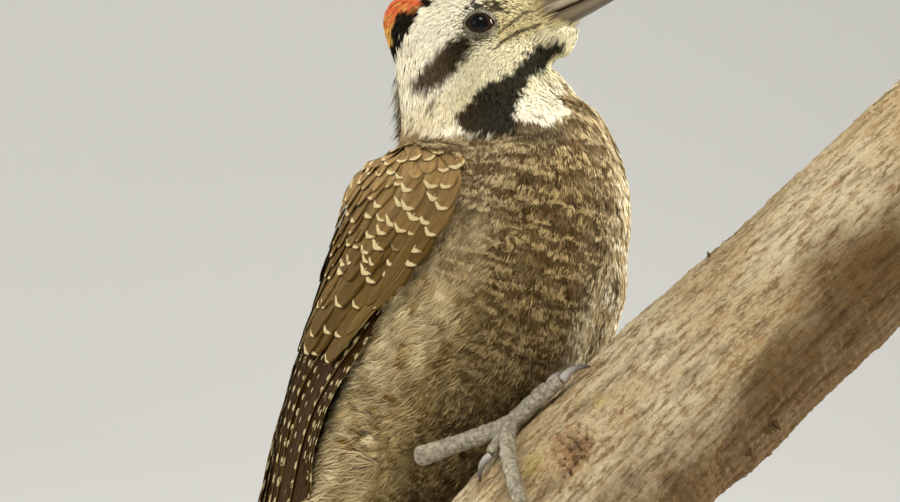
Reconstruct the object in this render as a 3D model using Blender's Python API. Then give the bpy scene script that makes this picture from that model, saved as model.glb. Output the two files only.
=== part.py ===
"""A life-size bearded woodpecker clinging to a cut length of branch, on a plain display stand.

Metres, +Z up. The bird looks towards +X. The origin is the middle of the stand's underside.
Bird's own directions on each section: forward is the belly side, left is the bird's left.
"""

import math

import bmesh
import bpy
from mathutils import Matrix, Vector

MM = 0.001
GAP = 0.3 * MM
UP = Vector((0.0, 0.0, 1.0))

# Stand
BASE_SIZE = Vector((180.0, 124.0, 15.0)) * MM
BASE_CORNER = 14 * MM
BASE_EDGE = 1.5 * MM
ROD_RADIUS = 3 * MM
ROD_SOCKET = 9 * MM
ROD_PLACES = {"stand_rod_low": -34 * MM, "stand_rod_high": 30 * MM}

# Perch: its centre line is one curve in an upright plane, steeper towards its lower end
PERCH_Y = -8 * MM
PERCH_TOP = Vector((106.0, -8.0, 223.5)) * MM
PERCH_BEND = Vector((1.0, -8.0, 138.5)) * MM
PERCH_FOOT = Vector((-74.0, -8.0, 38.0)) * MM
PERCH_RADIUS = 20.0 * MM
PERCH_TAPER = 0.8 * MM
PERCH_SWELL = 1.6 * MM
PERCH_SWELL_REACH = 30 * MM
PERCH_UNEVEN = 0.25 * MM
PERCH_SIDES = 24
PERCH_RINGS = 20
FOOT_ALONG = 127.5 * MM

# Body sections from tail root to neck, in millimetres:
# centre x, y, z, half width, depth to the belly side, depth to the back side
BODY = {
    "quill_tips": (-63.5, 4.5, 87.0, 7.0, 4.0, 4.0),
    "tail_root": (-55.0, 9.0, 104.0, 9.0, 5.0, 5.0),
    "vent": (-46.5, 13.5, 119.0, 15.5, 11.0, 10.0),
    "thigh": (-37.0, 18.0, 135.0, 21.5, 18.5, 17.5),
    "belly": (-28.5, 21.0, 150.0, 26.0, 25.0, 23.0),
    "waist": (-22.0, 22.5, 165.5, 29.5, 31.0, 27.0),
    "breast": (-16.5, 23.5, 183.5, 31.0, 33.5, 30.0),
    "chest": (-12.7, 25.0, 200.5, 30.5, 33.4, 29.0),
    "shoulder": (-12.0, 26.5, 213.5, 26.5, 29.4, 24.0),
    "collar": (-13.5, 27.3, 221.5, 21.5, 20.4, 20.2),
    "neck": (-15.4, 27.5, 229.0, 18.0, 16.6, 18.8),
    "nape": (-16.2, 27.5, 236.0, 15.5, 18.5, 18.8),
    "inside_head": (-16.8, 27.5, 244.0, 11.0, 12.0, 15.5),
}
BODY_YAW = math.radians(35)
HEAD_YAW = math.radians(15)
BODY_SIDES = 28
TRUNK_RINGS = 23
NECK_CUT = 9.15        # counted in sections from the first, as are the others below
NECK_OVERLAP = 0.07
NECK_RINGS = 8
TRUNK_START = 1.0
BELLY = 4.0
SHOULDER = 8.0

# Head sections along the bill's direction, from the head's middle, in millimetres:
# distance forward, rise of the section's middle, half width, depth upwards, depth downwards
HEAD_MIDDLE = Vector((-17.0, 27.5, 242.8)) * MM
BILL_PITCH = math.radians(23)
HEAD = {
    "occiput": (-19.2, 0.2, 4.6, 8.4, 4.8),
    "hindcrown": (-16.0, -1.0, 9.2, 13.6, 9.0),
    "crown": (-9.0, -0.5, 12.8, 13.2, 12.5),
    "brow": (0.0, -0.5, 13.6, 13.6, 13.2),
    "forehead": (8.0, -2.2, 11.6, 11.2, 11.8),
    "lores": (13.5, -4.4, 8.6, 7.6, 9.2),
    "frontal": (16.5, -5.8, 6.6, 6.0, 9.8),
    "chin": (20.3, -9.6, 4.0, 3.0, 5.2),
    "chin_tip": (23.0, -11.2, 1.5, 0.8, 1.4),
}
HEAD_SIDES = 24
HEAD_RINGS = 15

# Eye
EYE_RADIUS = 3.7 * MM
EYE_FORWARD = 4.25 * MM
EYE_RISE = -2.1 * MM
EYE_OUT = 10.2 * MM

# Bill: straight, with a ridge above and a chisel tip
BILL_LENGTH = 36 * MM
BILL_START = 13.5 * MM
BILL_RISE = -5.6 * MM
BILL_HALF_WIDTH = 4.9 * MM
BILL_UPPER = 4.9 * MM
BILL_LOWER = 4.1 * MM
BILL_TIP_DEPTH = 0.55 * MM
BILL_TIP_HALF_WIDTH = 0.45 * MM
BILL_TAPER = 1.35
BILL_RINGS = 9

# Wing, folded on the body's side: at each body section, the angles from the belly's middle
# at which its lower and upper edges lie, in degrees, and how far it stands off the body, in millimetres
WING_EDGES = {
    "quill_tips": (146.0, 176.0, 5.5),
    "tail_root": (142.0, 176.0, 11.0),
    "vent": (136.0, 176.5, 12.0),
    "thigh": (126.0, 177.0, 10.5),
    "belly": (112.0, 177.0, 8.0),
    "waist": (97.0, 174.0, 4.4),
    "breast": (80.0, 162.0, 1.2),
    "chest": (70.0, 142.0, 0.9),
    "shoulder": (70.0, 128.0, 0.9),
    "collar": (80.0, 120.0, 0.9),
}
WING_START = 8.3
WING_END = 1.15
WING_STEP = 1.2
WING_POINT = 0.3
WING_ROUND = 0.12
WING_ROWS = 20
WING_COLUMNS = 10
WING_THICKNESS = 4.2 * MM
WING_TIP_THICKNESS = 1.2 * MM
WING_LOW_EDGE_LIFT = 0.45
WING_CLEARANCE = 0.9 * MM
WING_BED = 3.0 * MM
WING_BED_MARGIN = math.radians(9)

# Tail, its tip propped on the perch
TAIL_TIP_ALONG = 22 * MM
TAIL_TIP_TURN = math.radians(33)
TAIL_TIP_LIFT = 1.6 * MM
TAIL_JOIN = 1.6 * MM
TAIL_FEATHERS = 10
TAIL_COLUMNS = 20
TAIL_ROWS = 8
TAIL_THICKNESS = 1.0 * MM
TAIL_ROOT_THICKNESS = 5.0 * MM
TAIL_ROOT_HALF_WIDTH = 8.5 * MM
TAIL_HALF_WIDTH = 14 * MM
TAIL_GRADE = 0.2
TAIL_POINT = 3.2 * MM
TAIL_ROOF = 2.6 * MM
TAIL_BOW = 2.0 * MM

# Legs: each toe's heading from uphill in degrees, its length and its claw's in millimetres, and slimness
TOES = {
    "inner_front": (-16.0, 12.0, 6.0, 0.88),
    "outer_front": (10.0, 15.0, 6.5, 1.0),
    "outer_side": (119.0, 21.0, 7.5, 0.98),
    "inner_hind": (160.0, 7.5, 6.0, 0.84),
}
TARSUS_RADIUS = 1.85 * MM
TOE_RADIUS = 1.9 * MM
TOE_TIP_RADIUS = 1.55 * MM
TOE_POINTS = 7
CLAW_RADIUS = 1.2 * MM
CLAW_TIP_RADIUS = 0.28 * MM
CLAW_ARCH = 1.2 * MM
CLAW_GAP = 0.7 * MM
CLAW_POINTS = 6
LEG_SIDES = 8
LEG_RINGS = 7
LEG_TOP_RADIUS = 7.5 * MM
LEG_HEEL_RADIUS = 2.6 * MM
RIGHT_HEEL = Vector((-29.7, -8.0, 144.5)) * MM
RIGHT_HIP = Vector((-38.0, 8.0, 158.5)) * MM
RIGHT_FOOT_TURN = math.radians(-10)
LEFT_FOOT_TURN = math.radians(80)
LEFT_FOOT_AHEAD = 5 * MM

COLOURS = {
    "feather_brown": ((0.18, 0.12, 0.06), 0.75, 0.0),
    "feather_barred": ((0.38, 0.31, 0.21), 0.8, 0.0),
    "feather_white": ((0.72, 0.68, 0.55), 0.8, 0.0),
    "horn_grey": ((0.11, 0.09, 0.08), 0.4, 0.0),
    "leg_grey": ((0.32, 0.33, 0.29), 0.65, 0.0),
    "eye_dark": ((0.02, 0.012, 0.01), 0.08, 0.0),
    "bark": ((0.42, 0.34, 0.24), 0.9, 0.0),
    "oiled_wood": ((0.09, 0.05, 0.03), 0.45, 0.0),
    "satin_steel": ((0.55, 0.55, 0.56), 0.35, 1.0),
}


# ---------------------------------------------------------------- helpers


def clear_scene():
    for thing in list(bpy.data.objects):
        bpy.data.objects.remove(thing)


def finish_of(name):
    """The material of that name, made the first time it is asked for."""
    found = bpy.data.materials.get(name)
    if found:
        return found
    colour, roughness, metallic = COLOURS[name]
    made = bpy.data.materials.new(name)
    made.use_nodes = True
    shader = made.node_tree.nodes["Principled BSDF"]
    shader.inputs["Base Color"].default_value = (*colour, 1.0)
    shader.inputs["Roughness"].default_value = roughness
    shader.inputs["Metallic"].default_value = metallic
    return made


def add_mesh(name, bm, finish, crease=40):
    """The bmesh as a named object, faces turned outwards and round parts shaded smooth."""
    bmesh.ops.recalc_face_normals(bm, faces=bm.faces)
    mesh = bpy.data.meshes.new(name)
    bm.to_mesh(mesh)
    bm.free()
    mesh.shade_smooth()
    mesh.set_sharp_from_angle(angle=math.radians(crease))
    mesh.materials.append(finish_of(finish))
    made = bpy.data.objects.new(name, mesh)
    bpy.context.scene.collection.objects.link(made)
    return made


def loft(rings):
    """A closed bmesh through rings of points, each with as many points, capped flat at both ends."""
    bm = bmesh.new()
    rows = [[bm.verts.new(p) for p in ring] for ring in rings]
    count = len(rows[0])
    for low, high in zip(rows, rows[1:]):
        for i in range(count):
            j = (i + 1) % count
            bm.faces.new((low[i], low[j], high[j], high[i]))
    bm.faces.new(rows[0])
    bm.faces.new(reversed(rows[-1]))
    return bm


def plate(outer, inner):
    """A closed bmesh between two grids of points, joined round their edge."""
    bm = bmesh.new()
    grids = [[[bm.verts.new(p) for p in row] for row in grid] for grid in (outer, inner)]
    rows, columns = len(outer), len(outer[0])
    for grid in grids:
        for r in range(rows - 1):
            for c in range(columns - 1):
                bm.faces.new((grid[r][c], grid[r][c + 1], grid[r + 1][c + 1], grid[r + 1][c]))
    rim = [(0, c) for c in range(columns)] + [(r, columns - 1) for r in range(1, rows)]
    rim += [(rows - 1, c) for c in range(columns - 2, -1, -1)] + [(r, 0) for r in range(rows - 2, 0, -1)]
    for (r, c), (s, d) in zip(rim, rim[1:] + rim[:1]):
        bm.faces.new((grids[0][r][c], grids[0][s][d], grids[1][s][d], grids[1][r][c]))
    return bm


def tube(name, points, radii, finish, sides=LEG_SIDES):
    """A round bar through the points with a radius at each, made as a bevelled curve, then a mesh."""
    curve = bpy.data.curves.new(name, "CURVE")
    curve.dimensions = "3D"
    curve.bevel_depth = 1.0
    curve.bevel_resolution = sides // 2 - 2
    curve.use_fill_caps = True
    spline = curve.splines.new("POLY")
    spline.points.add(len(points) - 1)
    for knot, place, radius in zip(spline.points, points, radii):
        knot.co = (*place, 1.0)
        knot.radius = radius
    guide = bpy.data.objects.new(name + "_guide", curve)
    bpy.context.scene.collection.objects.link(guide)
    bm = bmesh.new()
    bm.from_mesh(mesh_of(guide))
    bpy.data.objects.remove(guide)
    bmesh.ops.remove_doubles(bm, verts=bm.verts, dist=0.001 * MM)
    return add_mesh(name, bm, finish)


def mesh_of(thing):
    """What the object looks like with its modifiers, as a mesh of its own."""
    graph = bpy.context.evaluated_depsgraph_get()
    return bpy.data.meshes.new_from_object(thing.evaluated_get(graph))


def boolean(thing, other, operation):
    """Joins or cuts thing by other, keeps the result as thing's mesh, and removes other."""
    step = thing.modifiers.new(operation.lower(), "BOOLEAN")
    step.operation = operation
    step.solver = "EXACT"
    step.use_self = operation == "UNION"
    step.object = other
    result = mesh_of(thing)
    thing.modifiers.remove(step)
    thing.data = result
    bpy.data.objects.remove(other)
    thing.data.shade_smooth()
    thing.data.set_sharp_from_angle(angle=math.radians(40))


def blend(rows, t):
    """Values between numbered rows, on a smooth curve through them."""
    last = len(rows) - 1
    i = min(max(math.floor(t), 0), last - 1)
    f = t - i
    a, b, c, d = (rows[min(max(k, 0), last)] for k in (i - 1, i, i + 1, i + 2))
    return [
        0.5 * (2 * q + (r - p) * f + (2 * p - 5 * q + 4 * r - s) * f * f + (3 * q - p - 3 * r + s) * f**3)
        for p, q, r, s in zip(a, b, c, d)
    ]


def smooth_step(low, high, value):
    x = min(max((value - low) / (high - low), 0.0), 1.0)
    return x * x * (3 - 2 * x)


# ---------------------------------------------------------------- perch


def perch_line(count=240):
    """Points of the perch's centre line from its lower end, each with its distance along."""
    found = [(PERCH_FOOT.copy(), 0.0)]
    for i in range(1, count + 1):
        t = i / count
        p = PERCH_FOOT * (1 - t) ** 2 + PERCH_BEND * 2 * t * (1 - t) + PERCH_TOP * t * t
        found.append((p, found[-1][1] + (p - found[-1][0]).length))
    return found


PERCH_LINE = perch_line()
PERCH_LENGTH = PERCH_LINE[-1][1]


def perch_axis(along):
    """Centre, direction and upper side of the perch at a distance from its lower end."""
    spot = min(range(len(PERCH_LINE)), key=lambda i: abs(PERCH_LINE[i][1] - along))
    a, b = max(spot - 1, 0), min(spot + 1, len(PERCH_LINE) - 1)
    (p, d), (q, e) = PERCH_LINE[a], PERCH_LINE[b]
    centre = p.lerp(q, (along - d) / (e - d))
    direction = (q - p).normalized()
    away = Vector((0, 1, 0))
    return centre, direction, direction.cross(away).normalized(), away


def perch_radius(along, turn):
    """The perch is thickest where the feet hold it, and a little uneven all over."""
    swell = PERCH_SWELL * math.exp(-(((along - FOOT_ALONG) / PERCH_SWELL_REACH) ** 2))
    uneven = math.sin(3 * turn + along / (17 * MM)) + math.sin(2 * turn - along / (29 * MM))
    return PERCH_RADIUS + PERCH_TAPER * along / PERCH_LENGTH + swell + PERCH_UNEVEN * uneven


def perch_point(along, turn, lift=0.0):
    """A point over the perch's surface. Turn is 0 on the upper side and grows away from the front."""
    centre, _, upper, away = perch_axis(along)
    out = upper * math.cos(turn) + away * math.sin(turn)
    return centre + out * (perch_radius(along, turn) + lift)


def make_perch():
    rings = []
    for i in range(PERCH_RINGS):
        along = PERCH_LENGTH * i / (PERCH_RINGS - 1)
        rings.append([perch_point(along, 2 * math.pi * k / PERCH_SIDES) for k in range(PERCH_SIDES)])
    perch = add_mesh("perch", loft(rings), "bark")
    for name, x in ROD_PLACES.items():
        boolean(perch, rod(name + "_hole", x, GAP), "DIFFERENCE")


# ---------------------------------------------------------------- stand


def perch_height(x):
    """Height of the perch's centre line over a place on the base."""
    return min(PERCH_LINE, key=lambda item: abs(item[0].x - x))[0].z


def rod(name, x, grow=0.0):
    """An upright rod from a socket in the base into the perch's underside."""
    low = BASE_SIZE.z - ROD_SOCKET + GAP - grow
    high = perch_height(x) - PERCH_RADIUS * 0.35 + grow
    bm = bmesh.new()
    place = Matrix.Translation((x, PERCH_Y, (low + high) / 2))
    bmesh.ops.create_cone(
        bm, cap_ends=True, segments=20, radius1=ROD_RADIUS + grow, radius2=ROD_RADIUS + grow,
        depth=high - low, matrix=place,
    )
    return add_mesh(name, bm, "satin_steel")


def make_base():
    bm = bmesh.new()
    place = Matrix.Translation((0, 0, BASE_SIZE.z / 2)) @ Matrix.Diagonal((*BASE_SIZE, 1.0))
    bmesh.ops.create_cube(bm, size=1.0, matrix=place)
    upright = [e for e in bm.edges if abs(e.verts[0].co.z - e.verts[1].co.z) > BASE_SIZE.z / 2]
    bmesh.ops.bevel(bm, geom=upright, offset=BASE_CORNER, segments=6, affect="EDGES", profile=0.5)
    top = [e for e in bm.edges if min(v.co.z for v in e.verts) > BASE_SIZE.z - 0.01 * MM]
    bmesh.ops.bevel(bm, geom=top, offset=BASE_EDGE, segments=2, affect="EDGES", profile=0.5)
    base = add_mesh("stand_base", bm, "oiled_wood", 30)
    for name, x in ROD_PLACES.items():
        boolean(base, rod(name + "_socket", x, GAP), "DIFFERENCE")
        rod(name, x)


# ---------------------------------------------------------------- body


def body_frame(t):
    """Centre, upward direction, forward and left of the body at a section number."""
    rows = list(BODY.values())
    centre = Vector(blend(rows, t)[:3]) * MM
    step = 0.05
    up = (Vector(blend(rows, t + step)[:3]) - Vector(blend(rows, t - step)[:3])).normalized()
    share = smooth_step(SHOULDER, len(rows) - 1, t)
    yaw = BODY_YAW + (HEAD_YAW - BODY_YAW) * share
    level = Vector((math.cos(yaw), -math.sin(yaw), 0))
    forward = (level - up * level.dot(up)).normalized()
    return centre, up, forward, up.cross(forward)


def wing_edges(t):
    """The angles round the body between which the folded wing lies."""
    low, high, lift = blend(list(WING_EDGES.values()), t)
    return math.radians(low), math.radians(high), lift * MM


def wing_bed(t, turn):
    """How deep the body is let in under the wing."""
    low, high, _ = wing_edges(t)
    side = abs(turn)
    margin = WING_BED_MARGIN
    inside = smooth_step(low - margin, low + margin, side)
    inside *= smooth_step(-high - margin, -high + margin, -side)
    inside *= smooth_step(WING_START + 0.5, WING_START - 0.8, t) * smooth_step(1.2, 2.5, t)
    return WING_BED * inside


def body_point(t, turn, lift=0.0, bed=True):
    """A point over the body. Turn is 0 in the middle of the belly and grows to the bird's left."""
    centre, up, forward, left = body_frame(t)
    _, _, _, half_width, belly, back = blend(list(BODY.values()), t)
    depth = belly if math.cos(turn) > 0 else back
    flat = forward * math.cos(turn) * depth * MM + left * math.sin(turn) * half_width * MM
    out = (forward * math.cos(turn) * half_width + left * math.sin(turn) * depth).normalized()
    return centre + flat + out * (lift - (wing_bed(t, turn) if bed else 0.0))


def body_rings(low, high, count, lift=0.0):
    turns = [2 * math.pi * k / BODY_SIDES - math.pi for k in range(BODY_SIDES)]
    return [
        [body_point(low + (high - low) * i / (count - 1), turn, lift) for turn in turns]
        for i in range(count)
    ]


def make_trunk():
    add_mesh("trunk", loft(body_rings(TRUNK_START, NECK_CUT, TRUNK_RINGS)), "feather_barred")


def trunk_bed():
    """The trunk grown by the gap on all sides, for cutting its neighbours to fit."""
    rings = body_rings(TRUNK_START, NECK_CUT, TRUNK_RINGS, GAP)
    up = body_frame(NECK_CUT)[1]
    rings.append([p + up * GAP for p in rings[-1]])
    return add_mesh("trunk_bed", loft(rings), "feather_barred")


# ---------------------------------------------------------------- head


def head_frame():
    """Forward along the bill, up and left of the head."""
    forward = Vector(
        (
            math.cos(BILL_PITCH) * math.cos(HEAD_YAW),
            -math.cos(BILL_PITCH) * math.sin(HEAD_YAW),
            math.sin(BILL_PITCH),
        )
    )
    left = UP.cross(forward).normalized()
    return forward, forward.cross(left), left


def head_place(forward, up, left):
    """A point given along the head's own directions from its middle."""
    f, u, l = head_frame()
    return HEAD_MIDDLE + f * forward + u * up + l * left


def head_rings(lift=0.0):
    rings = []
    rows = list(HEAD.values())
    count = HEAD_RINGS
    for i in range(count):
        ahead, rise, half_width, above, below = blend(rows, (len(rows) - 1) * i / (count - 1))
        ring = []
        for k in range(HEAD_SIDES):
            turn = 2 * math.pi * k / HEAD_SIDES
            depth = above if math.cos(turn) > 0 else below
            ring.append(
                head_place(
                    ahead * MM,
                    rise * MM + math.cos(turn) * (depth * MM + lift),
                    math.sin(turn) * (half_width * MM + lift),
                )
            )
        rings.append(ring)
    if lift:
        rings[0] = [p - head_frame()[0] * lift for p in rings[0]]
    return rings


def eye_place(side):
    return head_place(EYE_FORWARD, EYE_RISE, EYE_OUT * side)


def ball(name, place, radius, finish, rings=8, segments=12):
    bm = bmesh.new()
    bmesh.ops.create_uvsphere(
        bm, u_segments=segments, v_segments=rings, radius=radius, matrix=Matrix.Translation(place)
    )
    return add_mesh(name, bm, finish)


def bill_rings(part, grow=0.0):
    """Sections of one half of the bill, or with part 0 of both together, from its base to its tip."""
    rings = []
    for i in range(BILL_RINGS):
        share = i / (BILL_RINGS - 1)
        ahead = BILL_START + (BILL_LENGTH + grow) * share - grow * (share == 0)
        taper = 1 - share**BILL_TAPER
        wider = (BILL_HALF_WIDTH - BILL_TIP_HALF_WIDTH) * taper * (1 - 0.25 * share)
        half_width = BILL_TIP_HALF_WIDTH + wider
        above = BILL_TIP_DEPTH + (BILL_UPPER - BILL_TIP_DEPTH) * taper
        below = BILL_TIP_DEPTH + (BILL_LOWER - BILL_TIP_DEPTH) * taper
        half_width, above, below = half_width + grow, above + grow, below + grow
        upper = [(1.0, GAP / 2), (0.98, 0.3 * above), (0.74, 0.66 * above), (0.2, above)]
        lower = [(0.26, -below), (0.8, -0.6 * below), (0.98, -GAP / 2)]
        if part == 0:
            side = lower + upper[1:]
        else:
            side = upper if part > 0 else lower
        outline = [(w * half_width, h) for w, h in side]
        outline += [(-w, h) for w, h in reversed(outline)]
        rings.append([head_place(ahead, BILL_RISE + h, w) for w, h in outline])
    return rings


def make_head():
    head = add_mesh("head", loft(head_rings()), "feather_white")
    boolean(head, add_mesh("bill_bed", loft(bill_rings(0, GAP)), "horn_grey"), "DIFFERENCE")
    for side, word in ((-1, "right"), (1, "left")):
        boolean(head, ball("socket", eye_place(side), EYE_RADIUS + GAP, "eye_dark"), "DIFFERENCE")
        ball("eye_" + word, eye_place(side), EYE_RADIUS, "eye_dark")
    add_mesh("bill_upper", loft(bill_rings(1)), "horn_grey", 30)
    add_mesh("bill_lower", loft(bill_rings(-1)), "horn_grey", 30)


def make_neck():
    neck = add_mesh(
        "neck", loft(body_rings(NECK_CUT - NECK_OVERLAP, len(BODY) - 1.0, NECK_RINGS)), "feather_white"
    )
    boolean(neck, trunk_bed(), "DIFFERENCE")
    boolean(neck, add_mesh("head_bed", loft(head_rings(GAP)), "feather_white"), "DIFFERENCE")
    for side in (-1, 1):
        boolean(neck, ball("socket", eye_place(side), EYE_RADIUS + GAP, "eye_dark"), "DIFFERENCE")


# ---------------------------------------------------------------- wings and tail


def make_wing(side, word):
    """The folded wing as one plate over the body, its free end cut to the quills' tips."""
    outer, inner = [], []
    for r in range(WING_ROWS):
        share = r / (WING_ROWS - 1)
        outer.append([])
        inner.append([])
        for c in range(WING_COLUMNS):
            across = c / (WING_COLUMNS - 1)
            tip = WING_END - WING_STEP * math.sin(math.pi * (WING_POINT + (1 - WING_POINT) * across))
            t = WING_START + (tip - WING_START) * share
            low, high, lift = wing_edges(t)
            shrink = math.sqrt(max(1 - (1 - share / WING_ROUND) ** 2, 0.03)) if share < WING_ROUND else 1.0
            middle = (low + high) / 2
            turn = side * (middle + (low + (high - low) * across - middle) * shrink)
            lift *= WING_LOW_EDGE_LIFT + (1 - WING_LOW_EDGE_LIFT) * smooth_step(0, 0.5, across)
            lift = max(lift, WING_CLEARANCE)
            thicker = (WING_THICKNESS - WING_TIP_THICKNESS) * smooth_step(1.0, 0.35, share)
            thick = WING_TIP_THICKNESS + thicker
            thick *= 0.35 + 0.65 * math.sin(math.pi * (0.06 + 0.88 * across)) ** 0.6
            inner[-1].append(body_point(t, turn, lift, bed=False) - bed_drop(t, turn))
            outer[-1].append(body_point(t, turn, lift + thick, bed=False) - bed_drop(t, turn))
    add_mesh("wing_" + word, plate(outer, inner), "feather_brown", 60)


def bed_drop(t, turn):
    """The step by which the wing sinks into its bed in the body."""
    return body_point(t, turn, 0.0, bed=False) - body_point(t, turn)


def tail_frame():
    root = body_frame(TRUNK_START)[0] - body_frame(TRUNK_START)[1] * TAIL_JOIN
    tip = perch_point(TAIL_TIP_ALONG, TAIL_TIP_TURN, TAIL_TIP_LIFT)
    return root, tip


def make_tail():
    """Ten stiff quills in one roof-shaped fan, the middle pair longest and every tip pointed."""
    root, tip = tail_frame()
    down = (tip - root).normalized()
    toward = perch_axis(TAIL_TIP_ALONG)[0] - tip
    belly = (toward - down * toward.dot(down)).normalized()
    left = (-down).cross(belly)
    outer, inner = [], []
    for r in range(TAIL_ROWS):
        share = r / (TAIL_ROWS - 1)
        outer.append([])
        inner.append([])
        for c in range(TAIL_COLUMNS + 1):
            across = 2 * c / TAIL_COLUMNS - 1
            point = abs(((c * TAIL_FEATHERS / TAIL_COLUMNS) % 1.0) * 2 - 1)
            length = (tip - root).length * (1 - TAIL_GRADE * abs(across) ** 1.5) - TAIL_POINT * point
            wider = (TAIL_HALF_WIDTH - TAIL_ROOT_HALF_WIDTH) * smooth_step(0, 0.7, share)
            half_width = TAIL_ROOT_HALF_WIDTH + wider
            place = root + down * (length * share) + left * (across * half_width)
            place += belly * (TAIL_ROOF * across * across - TAIL_BOW * math.sin(math.pi * share))
            thick = TAIL_THICKNESS + (TAIL_ROOT_THICKNESS - TAIL_THICKNESS) * smooth_step(0.6, 0.0, share)
            outer[-1].append(place - belly * thick * 0.5)
            inner[-1].append(place + belly * thick * 0.5)
    add_mesh("tail", plate(outer, inner), "feather_brown", 60)


# ---------------------------------------------------------------- legs


def toe_path(along, turn, heading, length, start, count, height):
    """Points over the perch that run straight across its bark from a foot, at a heading from uphill."""
    found = []
    for i in range(count):
        run = start + (length - start) * i / (count - 1)
        spot = along + run * math.cos(heading)
        round_turn = turn + run * math.sin(heading) / PERCH_RADIUS
        found.append(perch_point(spot, round_turn, height(i / (count - 1))))
    return found


def make_foot(side, word, along, turn, heel):
    """Shank and four toes as one piece, with two toes uphill, one to the side and a short one behind."""
    palm = perch_point(along, turn, TARSUS_RADIUS + GAP)
    foot = tube(
        "foot_" + word,
        [heel.lerp(palm, share) for share in (0.0, 0.12, 0.5, 0.85, 1.0)],
        [TARSUS_RADIUS * k for k in (1.45, 1.15, 1.0, 1.1, 1.3)],
        "leg_grey",
    )
    for toe, (heading, length, claw, slim) in TOES.items():
        heading = math.radians(heading) * side
        reach = length * MM
        bulge = lambda share: TOE_RADIUS * slim + GAP + 0.25 * MM * abs(math.sin(3 * math.pi * share))
        path = toe_path(along, turn, heading, reach, 0.0, TOE_POINTS, bulge)
        thinner = (TOE_TIP_RADIUS - TOE_RADIUS) / (TOE_POINTS - 1)
        radii = [slim * (TOE_RADIUS + thinner * i) for i in range(TOE_POINTS)]
        boolean(foot, tube("toe", path, radii, "leg_grey"), "UNION")
        begin = reach + CLAW_GAP
        arch = lambda share: (
            (TOE_RADIUS * slim + GAP) * (1 - share) + (CLAW_TIP_RADIUS + GAP) * share
            + CLAW_ARCH * math.sin(math.pi * share)
        )
        end = begin + claw * MM
        path = toe_path(along, turn, heading, end, begin, CLAW_POINTS, arch)
        radii = [
            CLAW_TIP_RADIUS + (CLAW_RADIUS * slim - CLAW_TIP_RADIUS) * (1 - i / (CLAW_POINTS - 1)) ** 0.8
            for i in range(CLAW_POINTS)
        ]
        tube(f"claw_{word}_{toe}", path, radii, "horn_grey", 8)
    return foot


def make_leg(side, word, heel, hip):
    """The feathered upper leg, from inside the belly to just above the heel."""
    line = (heel - hip).normalized()
    end = heel - line * (TARSUS_RADIUS * 1.45 + GAP)
    rings = []
    across = line.cross(UP).normalized()
    other = line.cross(across)
    for i in range(LEG_RINGS):
        share = i / (LEG_RINGS - 1)
        radius = LEG_TOP_RADIUS + (LEG_HEEL_RADIUS - LEG_TOP_RADIUS) * share**1.3
        centre = hip.lerp(end, share)
        rings.append(
            [
                centre + (across * math.cos(a) + other * math.sin(a)) * radius
                for a in (2 * math.pi * k / 14 for k in range(14))
            ]
        )
    leg = add_mesh("leg_" + word, loft(rings), "feather_barred")
    boolean(leg, trunk_bed(), "DIFFERENCE")


def mirrored(place):
    """The same place on the bird's other side."""
    centre, _, _, left = body_frame(BELLY)
    return place - left * 2 * (place - centre).dot(left)


def make_legs():
    right_heel = RIGHT_HEEL
    left_heel = mirrored(RIGHT_HEEL) + perch_axis(FOOT_ALONG)[1] * LEFT_FOOT_AHEAD
    make_foot(-1, "right", FOOT_ALONG, RIGHT_FOOT_TURN, right_heel)
    make_foot(1, "left", FOOT_ALONG + LEFT_FOOT_AHEAD, LEFT_FOOT_TURN, left_heel)
    make_leg(-1, "right", right_heel, RIGHT_HIP)
    make_leg(1, "left", left_heel, mirrored(RIGHT_HIP))


def main():
    clear_scene()
    make_base()
    make_perch()
    make_trunk()
    make_neck()
    make_head()
    make_wing(-1, "right")
    make_wing(1, "left")
    make_tail()
    make_legs()


main()
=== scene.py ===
"""A woodpecker on its cut branch and stand: skin, feathers, eyes, bill, feet, bark and base."""

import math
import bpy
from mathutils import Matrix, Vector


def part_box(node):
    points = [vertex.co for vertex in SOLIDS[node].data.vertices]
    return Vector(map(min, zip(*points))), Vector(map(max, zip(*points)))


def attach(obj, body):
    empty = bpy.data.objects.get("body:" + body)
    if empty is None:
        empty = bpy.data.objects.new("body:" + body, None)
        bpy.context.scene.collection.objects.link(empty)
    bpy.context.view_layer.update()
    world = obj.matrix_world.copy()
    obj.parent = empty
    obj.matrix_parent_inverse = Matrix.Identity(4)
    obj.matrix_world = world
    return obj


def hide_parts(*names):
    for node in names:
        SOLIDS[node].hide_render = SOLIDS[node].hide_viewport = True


bl_info = {
    "name": "Woodpecker on a branch",
    "version": (1, 0, 0),
    "blender": (4, 5, 0),
    "location": "3D View > Sidebar > Woodpecker",
    "description": "Dresses the woodpecker's solids with skin, feathers, bark and stand",
    "category": "Object",
}

from types import SimpleNamespace

import bpy
import numpy as np
from mathutils import Vector
from mathutils.bvhtree import BVHTree
from mathutils.kdtree import KDTree

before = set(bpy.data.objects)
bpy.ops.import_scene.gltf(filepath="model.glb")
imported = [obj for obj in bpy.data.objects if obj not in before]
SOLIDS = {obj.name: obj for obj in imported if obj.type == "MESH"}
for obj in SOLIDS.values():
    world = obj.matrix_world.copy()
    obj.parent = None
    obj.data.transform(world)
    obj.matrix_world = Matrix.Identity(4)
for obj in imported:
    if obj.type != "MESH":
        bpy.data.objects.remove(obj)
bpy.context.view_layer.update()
MM = 0.001
SIDES = {"right": -1, "left": 1}
DRAFT = 1.0
TURN = 2 * math.pi


# ---------------------------------------------------------------- small tools


def mix(a, b, t):
    return a + (b - a) * t


def ease(low, high, value):
    """0 below low, 1 above high, and a soft step between; low may be the larger."""
    t = np.clip((value - low) / (high - low), 0.0, 1.0)
    return t * t * (3.0 - 2.0 * t)


def unit(v):
    return v / np.maximum(np.linalg.norm(v, axis=-1, keepdims=True), 1e-12)


def dot(a, b):
    return (a * b).sum(-1)


def weighed(a, b, t):
    return a * (1 - t) + b * t


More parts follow.
